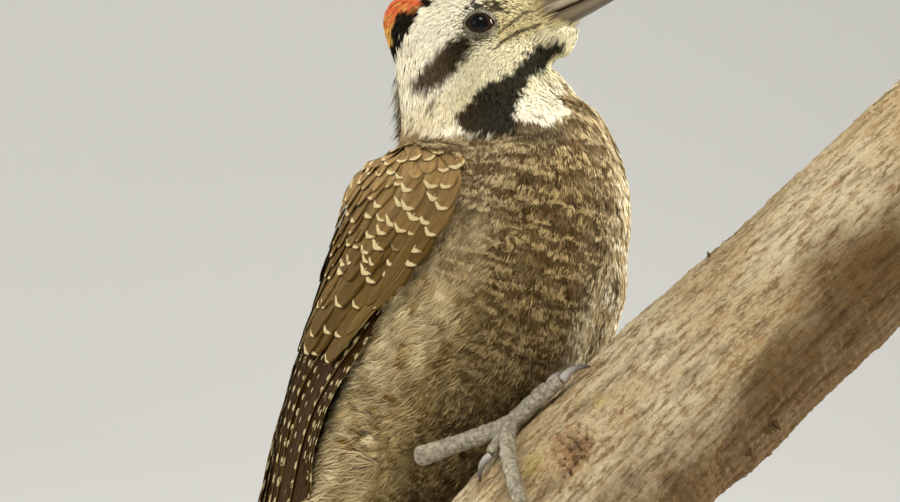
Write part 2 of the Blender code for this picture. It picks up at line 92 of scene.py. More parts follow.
def even_out(line, times=1, pull=0.5):
    """Draws every inner row of an array towards the middle of its two neighbours."""
    for _ in range(times):
        line[1:-1] = mix(line[1:-1], (line[:-2] + line[2:]) / 2, pull)


def run_along(line):
    """The distance run along a line at each of its places."""
    return np.concatenate([[0], np.cumsum(np.linalg.norm(np.diff(line, axis=0), axis=1))])


def lengths(lines):
    """How long each row of places is."""
    return np.linalg.norm(np.diff(lines, axis=1), axis=-1).sum(1)


def grown_tree(points):
    """A search tree over places."""
    tree = KDTree(len(points))
    for i, point in enumerate(points.tolist()):
        tree.insert(point, i)
    tree.balance()
    return tree


def with_share(colour, share):
    """Colours with a share for each as their fourth number."""
    return np.concatenate([colour, np.broadcast_to(np.reshape(share, (-1, 1)), (len(colour), 1))], 1)


def resampled(at, along, table):
    """The rows of a table, read at other places along it."""
    return np.stack([np.interp(at, along, column) for column in table.T], -1)


def chance(seed):
    return np.random.default_rng(seed)


def ripple(points, size, seed, octaves=2):
    """Smooth pattern between about -1 and 1, made of a few crossing waves."""
    dice = chance(seed)
    total = np.zeros(points.shape[:-1])
    for octave in range(octaves):
        for _ in range(5):
            way = unit(dice.normal(size=points.shape[-1]))
            length = size * MM / (1.9**octave) * dice.uniform(0.7, 1.4)
            total += np.sin(dot(points, way) * TURN / length + dice.uniform(0, 6.3)) / (2.4 * 1.6**octave)
    return total


def arrays_of(me):
    """Corners and triangles of a mesh."""
    co = np.empty(len(me.vertices) * 3, np.float32)
    me.vertices.foreach_get("co", co)
    me.calc_loop_triangles()
    tri = np.empty(len(me.loop_triangles) * 3, np.int32)
    me.loop_triangles.foreach_get("vertices", tri)
    return co.reshape(-1, 3).astype(float), tri.reshape(-1, 3)


def solid_mesh(*names):
    """Joined vertices and triangles of solids, with their doubled corners merged."""
    places, faces, count = [], [], 0
    for name in names:
        co, tri = arrays_of(SOLIDS[name].data)
        _, first, back = np.unique(
            np.round(co / 2e-6).astype(np.int64), axis=0, return_index=True, return_inverse=True
        )
        tri = back.ravel()[tri]
        tri = tri[(tri[:, 0] != tri[:, 1]) & (tri[:, 1] != tri[:, 2]) & (tri[:, 2] != tri[:, 0])]
        places.append(co[first])
        faces.append(tri + count)
        count += len(first)
    return np.concatenate(places), np.concatenate(faces)


def corner_normals(co, tri):
    a, b, c = co[tri[:, 0]], co[tri[:, 1]], co[tri[:, 2]]
    flat = np.cross(b - a, c - a)
    out = np.zeros_like(co)
    for k in range(3):
        np.add.at(out, tri[:, k], flat)
    return unit(out)


def tree_of(co, tri):
    return BVHTree.FromPolygons(co.tolist(), tri.tolist())


def nearest(tree, points):
    """Nearest place on a surface to each point, and the surface's direction there."""
    flat = points.reshape(-1, 3)
    place = np.empty_like(flat)
    way = np.empty_like(flat)
    index = np.empty(len(flat), int)
    for i, p in enumerate(flat.tolist()):
        found, normal, face, _ = tree.find_nearest(p)
        place[i] = found
        way[i] = normal
        index[i] = face
    return place.reshape(points.shape), way.reshape(points.shape), index.reshape(points.shape[:-1])


def new_mesh(name, co, quads=None, tris=None, fans=()):
    """A mesh object from arrays of corners and faces; it sits at the origin."""
    me = bpy.data.meshes.new(name)
    parts = [np.asarray(f, np.int32) for f in (quads, tris, *fans) if f is not None and len(f)]
    loops = np.concatenate([f.ravel() for f in parts])
    sizes = np.concatenate([np.full(len(f), f.shape[1], np.int32) for f in parts])
    me.vertices.add(len(co))
    me.vertices.foreach_set("co", np.asarray(co, np.float32).ravel())
    me.loops.add(len(loops))
    me.loops.foreach_set("vertex_index", loops)
    me.polygons.add(len(sizes))
    me.polygons.foreach_set("loop_start", np.concatenate([[0], np.cumsum(sizes)[:-1]]).astype(np.int32))
    me.update(calc_edges=True)
    me.validate()
    me.polygons.foreach_set("use_smooth", np.ones(len(me.polygons), bool))
    ob = bpy.data.objects.new(name, me)
    bpy.context.scene.collection.objects.link(ob)
    return ob


def give(ob, name, values):
    """Writes one number, place or colour for each corner of the mesh, as a named attribute."""
    values = np.asarray(values, np.float32)
    kinds = {1: ("FLOAT", "value"), 3: ("FLOAT_VECTOR", "vector"), 4: ("FLOAT_COLOR", "color")}
    kind, field = kinds[values.size // len(values)]
    ob.data.attributes.new(name, kind, "POINT").data.foreach_set(field, values.ravel())


def give_map(ob, uv):
    """Writes the bake's map from one place for each corner of the mesh."""
    me = ob.data
    index = np.empty(len(me.loops), np.int32)
    me.loops.foreach_get("vertex_index", index)
    layer = me.uv_layers.new(name="OFBake", do_init=False)
    layer.uv.foreach_set("vector", np.asarray(uv, np.float32)[index].ravel())


def remeshed(name, co, tri, grain):
    """One even closed surface round overlapping solids, with its inner islands dropped."""
    ob = new_mesh(name, co, tris=tri)
    step = ob.modifiers.new("even", "REMESH")
    step.mode = "VOXEL"
    step.voxel_size = grain
    step.adaptivity = 0.0
    me = bpy.data.meshes.new_from_object(ob.evaluated_get(bpy.context.evaluated_depsgraph_get()))
    bpy.data.objects.remove(ob)
    co, tri = arrays_of(me)
    quads = np.empty(len(me.loops), np.int32)
    me.loops.foreach_get("vertex_index", quads)
    bpy.data.meshes.remove(me)
    quads = quads.reshape(-1, 4)
    label = np.arange(len(co))
    while True:
        low = label[quads].min(1)
        fresh = label.copy()
        np.minimum.at(fresh, quads.ravel(), np.repeat(low, 4))
        fresh = fresh[fresh]
        if (fresh == label).all():
            break
        label = fresh
    main = np.bincount(label).argmax()
    keep = label == main
    index = np.cumsum(keep) - 1
    quads = index[quads[keep[quads[:, 0]]]]
    return co[keep], quads


def halves(quads):
    return np.concatenate([quads[:, [0, 1, 2]], quads[:, [0, 2, 3]]])


def relaxed(co, quads, times, pull=0.5):
    """Smooths a surface by drawing each corner to the middle of its neighbours."""
    edges = np.concatenate([quads[:, [k, (k + 1) % quads.shape[1]]] for k in range(quads.shape[1])])
    a, b = np.concatenate([edges[:, 0], edges[:, 1]]), np.concatenate([edges[:, 1], edges[:, 0]])
    count = np.bincount(a, minlength=len(co))[:, None]
    for _ in range(times):
        total = np.stack([np.bincount(a, co[b, k], minlength=len(co)) for k in range(3)], 1)
        co = mix(co, total / np.maximum(count, 1), pull)
    return co


# ---------------------------------------------------------------- the bird's own directions


def middle(node):
    low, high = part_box(node)
    return np.array((low + high) / 2)


HEAD_PITCH = math.radians(23)
EYES = {side: middle(f"eye_{side}") for side in SIDES}
UP = np.array((0.0, 0.0, 1.0))
LEFT = unit(EYES["left"] - EYES["right"])
FORWARD = math.cos(HEAD_PITCH) * np.cross(LEFT, UP) + math.sin(HEAD_PITCH) * UP
RISE = np.cross(FORWARD, LEFT)
HEAD = (EYES["left"] + EYES["right"]) / 2 - 4.6 * MM * FORWARD + 1.3 * MM * RISE


def head_place(points):
    """Forward, up and sideways distances from the middle of the head, in millimetres."""
    offset = (points - HEAD) / MM
    return offset @ FORWARD, offset @ RISE, offset @ LEFT


def cut_middle(co, tri, height):
    """Middle of the outline where a level plane cuts a solid."""
    p = co[tri]
    above = p[..., 2] > height
    p = p[above.any(1) & ~above.all(1)]
    ends = []
    for k in range(3):
        a, b = p[:, k], p[:, (k + 1) % 3]
        t = (height - a[:, 2]) / np.where(a[:, 2] == b[:, 2], 1, b[:, 2] - a[:, 2])
        ok = (t >= 0) & (t <= 1) & (a[:, 2] != b[:, 2])
        ends.append((mix(a, b, t[:, None]), ok))
    place = np.stack([e[0] for e in ends], 1)
    ok = np.stack([e[1] for e in ends], 1)
    count = ok.sum(1)
    place, ok = place[count == 2], ok[count == 2]
    two = place[ok].reshape(-1, 2, 3)
    weight = np.linalg.norm(two[:, 0] - two[:, 1], axis=1)
    return (two.mean(1) * weight[:, None]).sum(0) / weight.sum()


def find_spine():
    """The line down the middle of head, neck, trunk and tail, with directions at each step."""
    trunk, tail = solid_mesh("trunk", "neck"), solid_mesh("tail")
    low, high = trunk[0][:, 2].min() + 4 * MM, HEAD[2] - 10 * MM
    points = [HEAD]
    points += [cut_middle(*trunk, z) for z in np.linspace(high, low, 24)]
    tail_low = tail[0][:, 2].min() + 2 * MM
    points += [cut_middle(*tail, z) for z in np.linspace(low - 6 * MM, tail_low, 7)]
    points = np.array(points)
    even_out(points, 6)
    along = run_along(points)
    even = np.linspace(0, along[-1], 260)
    line = resampled(even, along, points)
    down = unit(np.gradient(line, axis=0))
    wings = unit(solid_mesh("wing_left")[0].mean(0) - solid_mesh("wing_right")[0].mean(0))
    turned = ease(6 * MM, 42 * MM, even)[:, None]
    aside = unit(mix(LEFT, wings, turned))
    aside = unit(aside - down * dot(aside, down)[:, None])
    front = np.cross(down, aside)
    return line, even, down, aside, front


SPINE, STATION, DOWN, ASIDE, FRONT = find_spine()


def body_place(points):
    """Metres down the spine, turn from the belly line (radians, left is more), and the spine's index."""
    flat = points.reshape(-1, 3)
    index = np.empty(len(flat), int)
    for start in range(0, len(flat), 20000):
        part = flat[start : start + 20000]
        index[start : start + 20000] = ((part[:, None] - SPINE[None]) ** 2).sum(-1).argmin(1)
    off = flat - SPINE[index]
    station = STATION[index] + dot(off, DOWN[index])
    turn = np.arctan2(dot(off, ASIDE[index]), dot(off, FRONT[index]))
    shape = points.shape[:-1]
    return station.reshape(shape), turn.reshape(shape), index.reshape(shape)


# ---------------------------------------------------------------- the body's surface

FLESH = ("head", "neck", "trunk", "leg_left", "leg_right", "wing_left", "wing_right")
FUSE = 0.5 * MM


def fused_body():
    """One closed surface over head, neck, trunk, legs and wings, at the feathers' own outline."""
    places, faces, count = [], [], 0
    for name in FLESH:
        co, tri = solid_mesh(name)
        co = co + corner_normals(co, tri) * FUSE
        places.append(co)
        faces.append(tri + count)
        count += len(co)
    grain = 0.9 * MM
    co, quads = remeshed("fused", np.concatenate(places), np.concatenate(faces), grain)
    co = relaxed(co, quads, 6)
    co = co - corner_normals(co, halves(quads)) * FUSE * 0.9
    return co, quads


class Body:
    """The outline that the feather tips reach, and where each zone of it is."""

    def __init__(self):
        self.co, self.quads = fused_body()
        self.tri = halves(self.quads)
        self.way = corner_normals(self.co, self.tri)
        self.tree = tree_of(self.co, self.tri)
        self.wings = {side: tree_of(*solid_mesh(f"wing_{side}")) for side in SIDES}
        self.legs = {side: tree_of(*solid_mesh(f"leg_{side}")) for side in SIDES}
        self.bill = tree_of(*solid_mesh("bill_upper", "bill_lower"))
        self.centre = self.co[self.tri].mean(1)
        station, turn, _ = body_place(self.centre)
        self.s = station / MM
        self.turn = np.degrees(turn)
        self.side = np.abs(self.turn)
        self.to_wing = gap_to(self.centre, self.wings.values())
        self.to_bill = gap_to(self.centre, [self.bill])
        self.to_eye = np.min([np.linalg.norm(self.centre - e, axis=1) for e in EYES.values()], axis=0)


def gap_to(points, trees):
    """Distance from each place to the nearest of some solids."""
    out = np.full(len(points), 1.0)
    for tree in trees:
        for i, p in enumerate(points.tolist()):
            out[i] = min(out[i], tree.find_nearest(p)[3])
    return out


def coat_depth(points):
    """How far the skin lies under the feathers' outline, in metres."""
    forward, rise, _ = head_place(points)
    s = body_place(points)[0] / MM
    depth = mix(0.8, 1.2, ease(6, -14, forward + 0.3 * rise))
    depth = mix(depth, 0.45, ease(9, 16, forward) * ease(-16, -8, rise))
    depth = mix(depth, 1.35, ease(20, 32, s))
    depth = mix(depth, 1.9, ease(60, 95, s))
    return depth * MM


BODY = Body()


def thin_of(points, ways, tree, limit=12 * MM):
    """How thick the solid is behind each place."""
    out = np.full(len(points), limit)
    for i, (p, n) in enumerate(zip(points, ways)):
        hit = tree.ray_cast(Vector(p - n * 0.05 * MM), Vector(-n), limit)
        if hit[0] is not None:
            out[i] = hit[3]
    return out


def make_skin(palette):
    """The bare bird under its feathers: one surface, as deep as the coat is thick."""
    thick = thin_of(BODY.co, BODY.way, BODY.tree)
    depth = np.minimum(coat_depth(BODY.co), 0.38 * thick)
    for _ in range(3):
        depth = relaxed(np.stack([depth] * 3, 1), BODY.quads, 2)[:, 0]
    co = relaxed(BODY.co - BODY.way * depth[:, None], BODY.quads, 2)
    ob = new_mesh("skin", co, quads=BODY.quads)
    look = plumage(BODY.co, palette)
    give(ob, "ground", with_share(look.ground, 0.0))
    give(ob, "mark", with_share(look.mark, look.bars))
    give(ob, "place", chart_mm(BODY.co))
    return ob


def chart_mm(points):
    """Millimetres round the body, down the body, and nothing: the bars run on these."""
    station, turn, index = body_place(points)
    reach = np.linalg.norm(points - SPINE[index], axis=-1)
    around = turn * (0.5 * reach + 0.5 * 30 * MM)
    return np.stack([around / MM, station / MM, 0 * station], -1)


# ---------------------------------------------------------------- colours of the plumage


def stroke(forward, rise, line, soft):
    """1 inside a painted stroke seen from the side, 0 outside; its line is (forward, up, half width)."""
    p = np.stack([forward, rise], -1)
    best = np.full(p.shape[:-1], 1e9)
    for a, b in zip(line, line[1:]):
        a, b = np.array(a, float), np.array(b, float)
        span = b[:2] - a[:2]
        t = np.clip(((p - a[:2]) @ span) / (span @ span), 0, 1)
        gap = np.linalg.norm(p - a[:2] - t[..., None] * span, axis=-1) - mix(a[2], b[2], t)
        best = np.minimum(best, gap)
    return ease(soft, -soft, best)


def inside(forward, rise, outline, soft):
    """1 inside a closed outline seen from the bird's side, 0 outside it."""
    p = np.stack([forward, rise], -1)
    far = np.full(p.shape[:-1], 1e9)
    within = np.zeros(p.shape[:-1], bool)
    for a, b in zip(outline, outline[1:] + outline[:1]):
        a, b = np.array(a, float), np.array(b, float)
        span = b - a
        t = np.clip(((p - a) @ span) / (span @ span), 0, 1)
        far = np.minimum(far, np.linalg.norm(p - a - t[..., None] * span, axis=-1))
        if a[1] != b[1]:
            reach = a[0] + span[0] * (rise - a[1]) / span[1]
            within ^= ((a[1] > rise) != (b[1] > rise)) & (forward < reach)
    return ease(-soft, soft, np.where(within, far, -far))


# Outlines of the head's marks, each corner as (forward, up) in millimetres.
MALAR = (
    (18.6, -11.4), (14.2, -10.2), (9.8, -12.7), (6, -15), (1.6, -14.6), (0, -16), (-2, -17.3), (-6.8, -18.9),
    (-6.4, -21.5), (-4.4, -24.2), (-0.6, -27.2), (3.8, -28.8), (6.8, -29.8),
    (6.4, -23.4), (8.2, -20), (10.4, -17), (14, -15.6), (19.4, -13.4),
)
EAR_STRIPE = (
    (0.6, -1.6), (-3.8, -2.7), (-7.8, -4.2), (-11.8, -5.8), (-15.6, -7.6),
    (-15.2, -9.2), (-11.6, -11.2), (-7.2, -10.6), (-3.2, -9.2), (0.2, -6.9), (2.8, -5.4),
)
NAPE = (
    (-5.5, 10.5), (-7.2, 7.4), (-9.2, 5.2), (-11.2, 3.9), (-13.6, 3.3), (-15.0, 1.6), (-16.6, 0.9),
    (-19.5, -0.5), (-24, -1.5), (-24, 6), (-18.5, 9), (-13, 11.5),
)
CREST = (
    (-6.2, 12), (-6.6, 8.6), (-9, 8.3), (-11.5, 9.4), (-13, 9.0), (-14.6, 7.8), (-16.0, 6.2),
    (-17.4, 4.2), (-20, 2.5), (-28, 10), (-16, 20), (-2, 20), (-2.5, 14),
)
CROWN_LINE = ((-9, 7.6), (-3, 7.2), (0, 8.6), (3.5, 8.0), (6, 5.0), (9, 3.6), (14, 2.0))
BROW = ((6.6, 0.8), (9.2, -0.6), (12.6, -0.4), (12.2, 1.4), (8.4, 3), (3.5, 4.2), (2.6, 3))
EAR_DROP = ((-9.6, -13.0, 0.5), (-12.4, -14.6, 0.7))
GAPE_LINE = ((16.6, -6.2, 0.3), (11.7, -6.2, 0.45), (8.4, -7.0, 0.45), (6.4, -8.0, 0.3))
LORE_STREAK = ((15.5, -2.4, 0.3), (11.5, -3.6, 0.4), (9.0, -4.6, 0.3))
# The white face's lower edge: its height in millimetres at each turn from the throat in degrees.
WHITE_EDGE = (
    (0, 229), (12, 227.5), (20, 223.2), (27, 220.4), (50, 220.6), (57, 217.4), (100, 217), (128, 218),
    (180, 219),
)
WHITE_LINE = 217.0


def white_edge(side):
    return np.interp(side, *np.array(WHITE_EDGE).T)


def plumage(points, palette):
    """Ground and mark colours at each place, with painted light and shade on the breast and belly, and how
    strongly scallops and bars show there.
    """
    forward, rise, aside = head_place(points)
    station, turn, _ = body_place(points)
    s = station / MM
    side = np.abs(np.degrees(turn))
    ragged = ripple(points, 5.0, 11)
    fine = ripple(points, 2.2, 12)
    f = forward + 0.5 * fine
    u = rise + 0.5 * ripple(points, 2.6, 13)

    def lay(base, colour, amount):
        return mix(base, np.array(colour), np.asarray(amount)[..., None])

    shape = points.shape[:-1]
    ground = np.broadcast_to(np.array(palette.breast), (*shape, 3)).copy()
    mark = np.broadcast_to(np.array(palette.cream), (*shape, 3)).copy()
    belly = ease(62, 92, s)
    ground = lay(ground, palette.belly, belly)
    flank = ease(48, 78, side + 5 * ragged) * ease(46, 72, s) * ease(160, 140, side)
    ground = lay(ground, palette.flank, 0.95 * flank)
    mark = lay(mark, palette.belly_cream, belly * (1 - 0.5 * flank))
    # Painted light: the bird's left side is brightened towards the flank colour, and its marks towards white.
    far = ease(-2, 20, np.degrees(turn) + 12 * ease(48, 70, s)) * ease(150, 120, side)
    ground = lay(ground, palette.flank, 0.85 * far)
    mark = lay(mark, palette.white, 0.7 * far)
    shoulder = ease(48, 62, side) * ease(40, 52, s) * ease(84, 70, s)
    ground = lay(ground, palette.flank, 0.30 * shoulder)
    # Painted shade in the groove down the middle of the breast.
    seam = ease(5.5, 1.5, np.abs(np.degrees(turn) + 4 + 3 * ragged)) * ease(34, 44, s) * ease(74, 60, s)
    ground = lay(ground, palette.dark, 0.55 * seam)
    # Painted shade: the middle of the breast and belly is darkened, away from the painted light on the left
    # side.
    widening = 44 + 0.62 * (s - 35).clip(0, 60)
    front = ease(6, 20, side) * ease(12, -8, side + 5 * ragged - widening) * (1 - far) * ease(26, 40, s)
    ground = ground * (1 - front[..., None] * np.array((0.40, 0.45, 0.58)))
    mark = mark * (1 - front[..., None] * np.array((0.20, 0.25, 0.36)))
    back = ease(106, 122, side + 4 * ragged - 12 * ease(52, 64, s) - 14 * ease(80, 94, s)) * ease(128, 104, s)
    ground = lay(ground, palette.mantle, back)
    mark = lay(mark, palette.spot, back)
    scallops = mix(0.95, 0.45, belly) * (1 - 0.6 * back) * (1 - 0.5 * flank)
    bars = (1 - back) * mix(0.22, 0.85, belly)
    patch = ease(1.25, 0.8, np.hypot((side - 40) / 15, (s - 29 - 0.8 * ragged) / 3.4))
    ground = lay(ground, palette.dark, 0.88 * patch)
    scallops = scallops * (1 - 0.7 * patch)
    ground = lay(ground, palette.dark, 0.32 * ease(0.1, 1.0, ripple(points, 8, 23)) * (1 - back))
    cloud = ripple(points, 7.5, 31)[..., None]
    ground = ground * (1 + np.array((0.20, 0.24, 0.30)) * cloud * (1 + 1.1 * flank - back)[..., None])
    z = points[..., 2] / MM
    edge = white_edge(side) + 0.9 * ragged
    white = ease(edge - 0.6, edge + 0.6, z)
    fleck = ease(0.55, 1.0, ripple(points, 1.6, 17, 1))
    pale = np.broadcast_to(np.array(palette.white), (*shape, 3))
    face = lay(pale, palette.grey, 0.22 * fleck + 0.20 * ease(0.0, 1, ragged))
    face = lay(face, palette.lore, 0.45 * ease(4, -6, f) * ease(-11, -15, u) * ease(-24, -19, u))
    cheek = ease(-9, 0, f) * ease(-24, -17, u) * ease(0, -5, u)
    face = face * (1 - cheek[..., None] * np.array((0.24, 0.25, 0.36)))
    warm = ease(5.5, 9, forward) * ease(-9.5, -6, rise)
    face = lay(face, palette.lore, 0.85 * warm)
    face = lay(face, palette.dark, 0.5 * ease(0.35, 0.8, ripple(points, 1.5, 19, 1)) * warm)
    crown = ease(-0.6, 0.6, u - np.interp(f, *np.array(CROWN_LINE).T)) * ease(-9, -7.5, f)
    face = lay(face, palette.black, crown)
    dots = ease(0.45, 0.7, ripple(points, 2.3, 21, 1))
    face = lay(face, palette.white, 0.9 * crown * dots)
    face = lay(face, palette.black, 0.92 * inside(f, u, BROW, 0.4) * ease(0.9, 0.2, fine))
    hind = ease(5.0, 3.2, np.abs(aside)) * ease(-15, -17, f) * ease(-1.5, -3.5, u)
    face = lay(face, palette.black, np.maximum(inside(f, u, NAPE, 0.5), hind))
    red = inside(f, u, CREST, 0.6)
    orange = np.array(palette.red) * np.array((1.1, 2.9, 2.2))
    glow = ease(9.5, 6.5, u) * ease(-13.5, -15.5, f)
    glow = np.maximum(glow, 0.7 * ease(0.1, 0.8, fine))
    face = mix(face, mix(np.array(palette.red), orange, glow[..., None]), red[..., None])
    ear = inside(f, u, EAR_STRIPE, 1.3)
    face = lay(face, palette.ear, 0.97 * ear)
    face = lay(face, palette.black, 0.7 * ear * ease(-9, -2, f))
    face = lay(face, palette.ear, 0.75 * stroke(f, u, EAR_DROP, 0.5))
    moustache = inside(f, u, MALAR, 0.7) * ease(1.0, 3.2, np.abs(aside))
    face = lay(face, palette.black, 0.98 * moustache)
    face = lay(face, palette.ear, 0.5 * moustache * ease(2, -6, f))
    face = lay(face, palette.dark, 0.85 * stroke(forward, rise, GAPE_LINE, 0.25))
    face = lay(face, palette.dark, 0.8 * stroke(forward, rise, LORE_STREAK, 0.3))
    ground = mix(ground, face, white[..., None])
    malar_low = moustache * (1 - white)
    ground = lay(ground, palette.black, 0.9 * malar_low)
    scallops = scallops * (1 - white) * (1 - malar_low)
    bars = bars * (1 - white) * (1 - 0.7 * malar_low)
    return SimpleNamespace(ground=ground, mark=mark, white=white, scallops=scallops, bars=bars)


# ---------------------------------------------------------------- where feathers grow and how they lie


def scatter(gap, wanted, seed, dense=6.0):
    """Root places spread over the wanted faces of the outline, no two closer than the gap asked for there."""
    dice = chance(seed)
    a, b, c = (BODY.co[BODY.tri[wanted, k]] for k in range(3))
    gap = (gap * np.ones(len(wanted)))[wanted] * math.sqrt(DRAFT)
    area = np.linalg.norm(np.cross(b - a, c - a), axis=1) / 2
    count = np.floor(area / gap**2 * dense + dice.random(len(a))).astype(int)
    face = np.repeat(np.arange(len(a)), count)
    r = np.sqrt(dice.random(len(face)))[:, None]
    t = dice.random(len(face))[:, None]
    p = a[face] * (1 - r) + b[face] * r * (1 - t) + c[face] * r * t
    tree = grown_tree(p)
    alive = np.ones(len(p), bool)
    chosen = []
    for i in dice.permutation(len(p)).tolist():
        if alive[i]:
            chosen.append(i)
            for _, j, _ in tree.find_range(p[i].tolist(), float(gap[face[i]])):
                alive[j] = False
    return p[chosen]


def lie(points):
    """The way a feather points at each place: back over the head, down the body, out over the flanks."""
    forward, rise, _ = head_place(points)
    station, turn, index = body_place(points)
    s = station / MM
    onto_body = ease(9, -20, forward + 0.8 * rise)[..., None]
    turn_way = ASIDE[index] * np.cos(turn)[..., None] - FRONT[index] * np.sin(turn)[..., None]
    side = np.abs(np.degrees(turn))
    flare = 0.55 * ease(15, 65, side) * ease(150, 125, side) * ease(40, 75, s)
    flare = flare + 0.75 * ease(62, 92, side) * ease(150, 130, side) * ease(58, 80, s)
    flare = flare + 0.25 * ease(20, 60, side) * ease(150, 110, side) * ease(20, 36, s) * ease(60, 45, s)
    down = DOWN[index] + turn_way * (np.sign(turn) * flare)[..., None]
    face = -FORWARD - 0.30 * RISE * ease(2, -9, rise)[..., None]
    chin = (ease(9, 14, forward) * ease(-8, -12, rise))[..., None]
    ahead = ease(19, 23, forward)[..., None]
    face = mix(face, mix(-0.7 * FORWARD - RISE, 0.7 * FORWARD - 0.7 * RISE, ahead), chin)
    return mix(face, down, onto_body)


def turned(way, normal, angle):
    """A direction turned about the surface's own by an angle."""
    c, s = np.cos(angle)[..., None], np.sin(angle)[..., None]
    return way * c + np.cross(normal, way) * s


def smooth_way(faces):
    return unit(BODY.way[BODY.tri[faces]].mean(-2))


class Path:
    """The shafts of a set of feathers: places, outward directions and headings along each."""

    def __init__(self, place, way, head):
        self.place, self.way = place, unit(way)
        self.head = unit(head - self.way * dot(head, self.way)[..., None])
        self.across = np.cross(self.head, self.way)
        self.chart = None

    def pick(self, values, y):
        steps = values.shape[1] - 1
        k = np.clip(y, 0, 1) * steps
        i = np.minimum(k.astype(int), steps - 1)
        t = (k - i)[..., None]
        row = np.arange(len(values)).reshape(-1, *[1] * (y.ndim - 1))
        return weighed(values[row, i], values[row, i + 1], t)

    def at(self, x, y, lift):
        way = self.pick(self.way, y)
        place = self.pick(self.place, y) + self.pick(self.across, y) * x[..., None]
        return place + way * lift[..., None], way

    def middle(self, y):
        return self.pick(self.place, np.full((len(self.place), 1), y))[:, 0]


def swell(points):
    """How far, in metres, soft feathers stand out beyond the body's outline on low breast and throat."""
    station, turn, _ = body_place(points)
    side = np.abs(np.degrees(turn))
    s = station / MM
    breast = 1.7 * ease(48, 58, s) * ease(92, 80, s) * ease(8, 20, side) * ease(62, 44, side)
    forward, rise, aside = head_place(points)
    middle_line = ease(7, 3, np.abs(aside))
    throat = 1.2 * ease(9, 12, forward) * ease(-15, -17, rise) * ease(-25, -21, rise)
    chin = -0.8 * ease(19, 21, forward) * ease(-10, -12, rise)
    return MM * (breast + (throat + chin) * middle_line)


def trace(roots, length, steps, twist):
    """Shafts that follow the body's outline from each root, along the lie."""
    place, _, face = nearest(BODY.tree, roots)
    way = smooth_way(face)
    places, ways, heads = [], [], []
    for k in range(steps + 1):
        head = lie(place)
        head = unit(head - way * dot(head, way)[:, None])
        head = turned(head, way, twist)
        places.append(place)
        ways.append(way)
        heads.append(head)
        if k < steps:
            place, _, face = nearest(BODY.tree, place + head * (length / steps)[:, None])
            way = smooth_way(face)
    ways = np.stack(ways, 1)
    path = Path(np.stack(places, 1), ways, np.stack(heads, 1))
    path.chart = chart_mm(path.place)
    path.place = path.place + ways * swell(path.place)[..., None]
    return path


# ---------------------------------------------------------------- soft feathers, made of barbs


class Tuft:
    """How one kind of soft feather is built."""

    def __init__(self, barbs, steps, width, spread, loose, stand, web):
        self.barbs, self.steps, self.width = barbs, steps, width
        self.spread, self.loose, self.stand, self.web = spread, loose, stand, web


def barb_strips(path, length, half, depth, tuft, seed):
    """Every barb of every feather as a tapered strip: corners, faces and each one's place in its feather."""
    dice = chance(seed)
    n, b, s = len(length), tuft.barbs, tuft.steps
    q = np.linspace(-1, 1, b)[None] + dice.normal(0, 0.55 / b, (n, b))
    q = q.clip(-1.05, 1.05)
    root = mix(0.05, tuft.web, 1 - np.abs(q) ** 1.2) + dice.normal(0, 0.02, (n, b))
    end_x = np.sin(q * math.pi / 2 * 0.98) * tuft.spread
    end_y = mix(0.52, 1.0, np.cos(q * math.pi / 2)) * dice.uniform(0.86, 1.04, (n, b))
    end_x = end_x + dice.normal(0, tuft.loose, (n, b))
    t = np.linspace(0, 1, s)[None, None]
    x = end_x[..., None] * (1 - (1 - t) ** 1.5)
    y = root[..., None] + (end_y - root)[..., None] * t**1.1
    lift = -depth[:, None, None] * (1 - y.clip(0, 1)) ** 2.1
    lift = lift - 0.16 * half[:, None, None] * x**2
    stand = (tuft.stand * dice.random((n, b)) ** 2)[..., None] * length[:, None, None]
    lift = lift + stand * y**2 + dice.normal(0, 0.05 * MM, (n, b))[..., None]
    place, way = path.at(x * half[:, None, None], y, lift)
    along = unit(np.gradient(place, axis=2))
    side = unit(np.cross(way, along))
    roll = dice.normal(0, 0.30, (n, b))[..., None, None]
    side = side * np.cos(roll) + way * np.sin(roll)
    taper = np.interp(t.ravel(), [0, 0.3, 0.75, 1.0], [0.75, 1.0, 0.7, 0.0])
    width = tuft.width * MM * dice.uniform(0.75, 1.25, (n, b))[..., None] * taper
    edge = side * (width / 2)[..., None]
    left, right = (place - edge)[:, :, :-1], (place + edge)[:, :, :-1]
    pairs = np.stack([left, right], 3).reshape(n, b, 2 * (s - 1), 3)
    co = np.concatenate([pairs, place[:, :, -1:]], 2)
    per = 2 * (s - 1) + 1
    base = np.arange(n * b)[:, None] * per
    quads = np.concatenate([base + np.array([2 * k, 2 * k + 1, 2 * k + 3, 2 * k + 2]) for k in range(s - 2)])
    tris = base + np.array([2 * s - 4, 2 * s - 3, 2 * s - 2])

    def spread_out(v):
        return np.concatenate([np.repeat(v[:, :, :-1], 2, axis=2), v[:, :, -1:]], 2)

    chart = path.pick(path.chart, y)
    chart[..., 0] += x * half[:, None, None] / MM
    shade = np.broadcast_to(dice.random((n, b))[..., None], y.shape)
    return {
        "co": co.reshape(-1, 3),
        "quads": quads,
        "tris": tris,
        "vane": np.stack([spread_out(x), spread_out(y), spread_out(shade)], -1).reshape(-1, 3),
        "place": spread_out(chart).reshape(-1, 3),
        "spots": place[:, :, s // 2].reshape(-1, 3),
        "roots": chart[:, :, 0, :2].reshape(-1, 2),
        "per": per,
        "t": np.broadcast_to(spread_out(np.broadcast_to(t, y.shape)), (n, b, per)).reshape(-1),
    }


def fit_unit(values):
    """Root places brought into the unit square, with a margin."""
    low, high = values.min(0), values.max(0)
    return 0.01 + 0.98 * (values - low) / np.maximum(high - low, 1e-9)


PATCH = 0.003


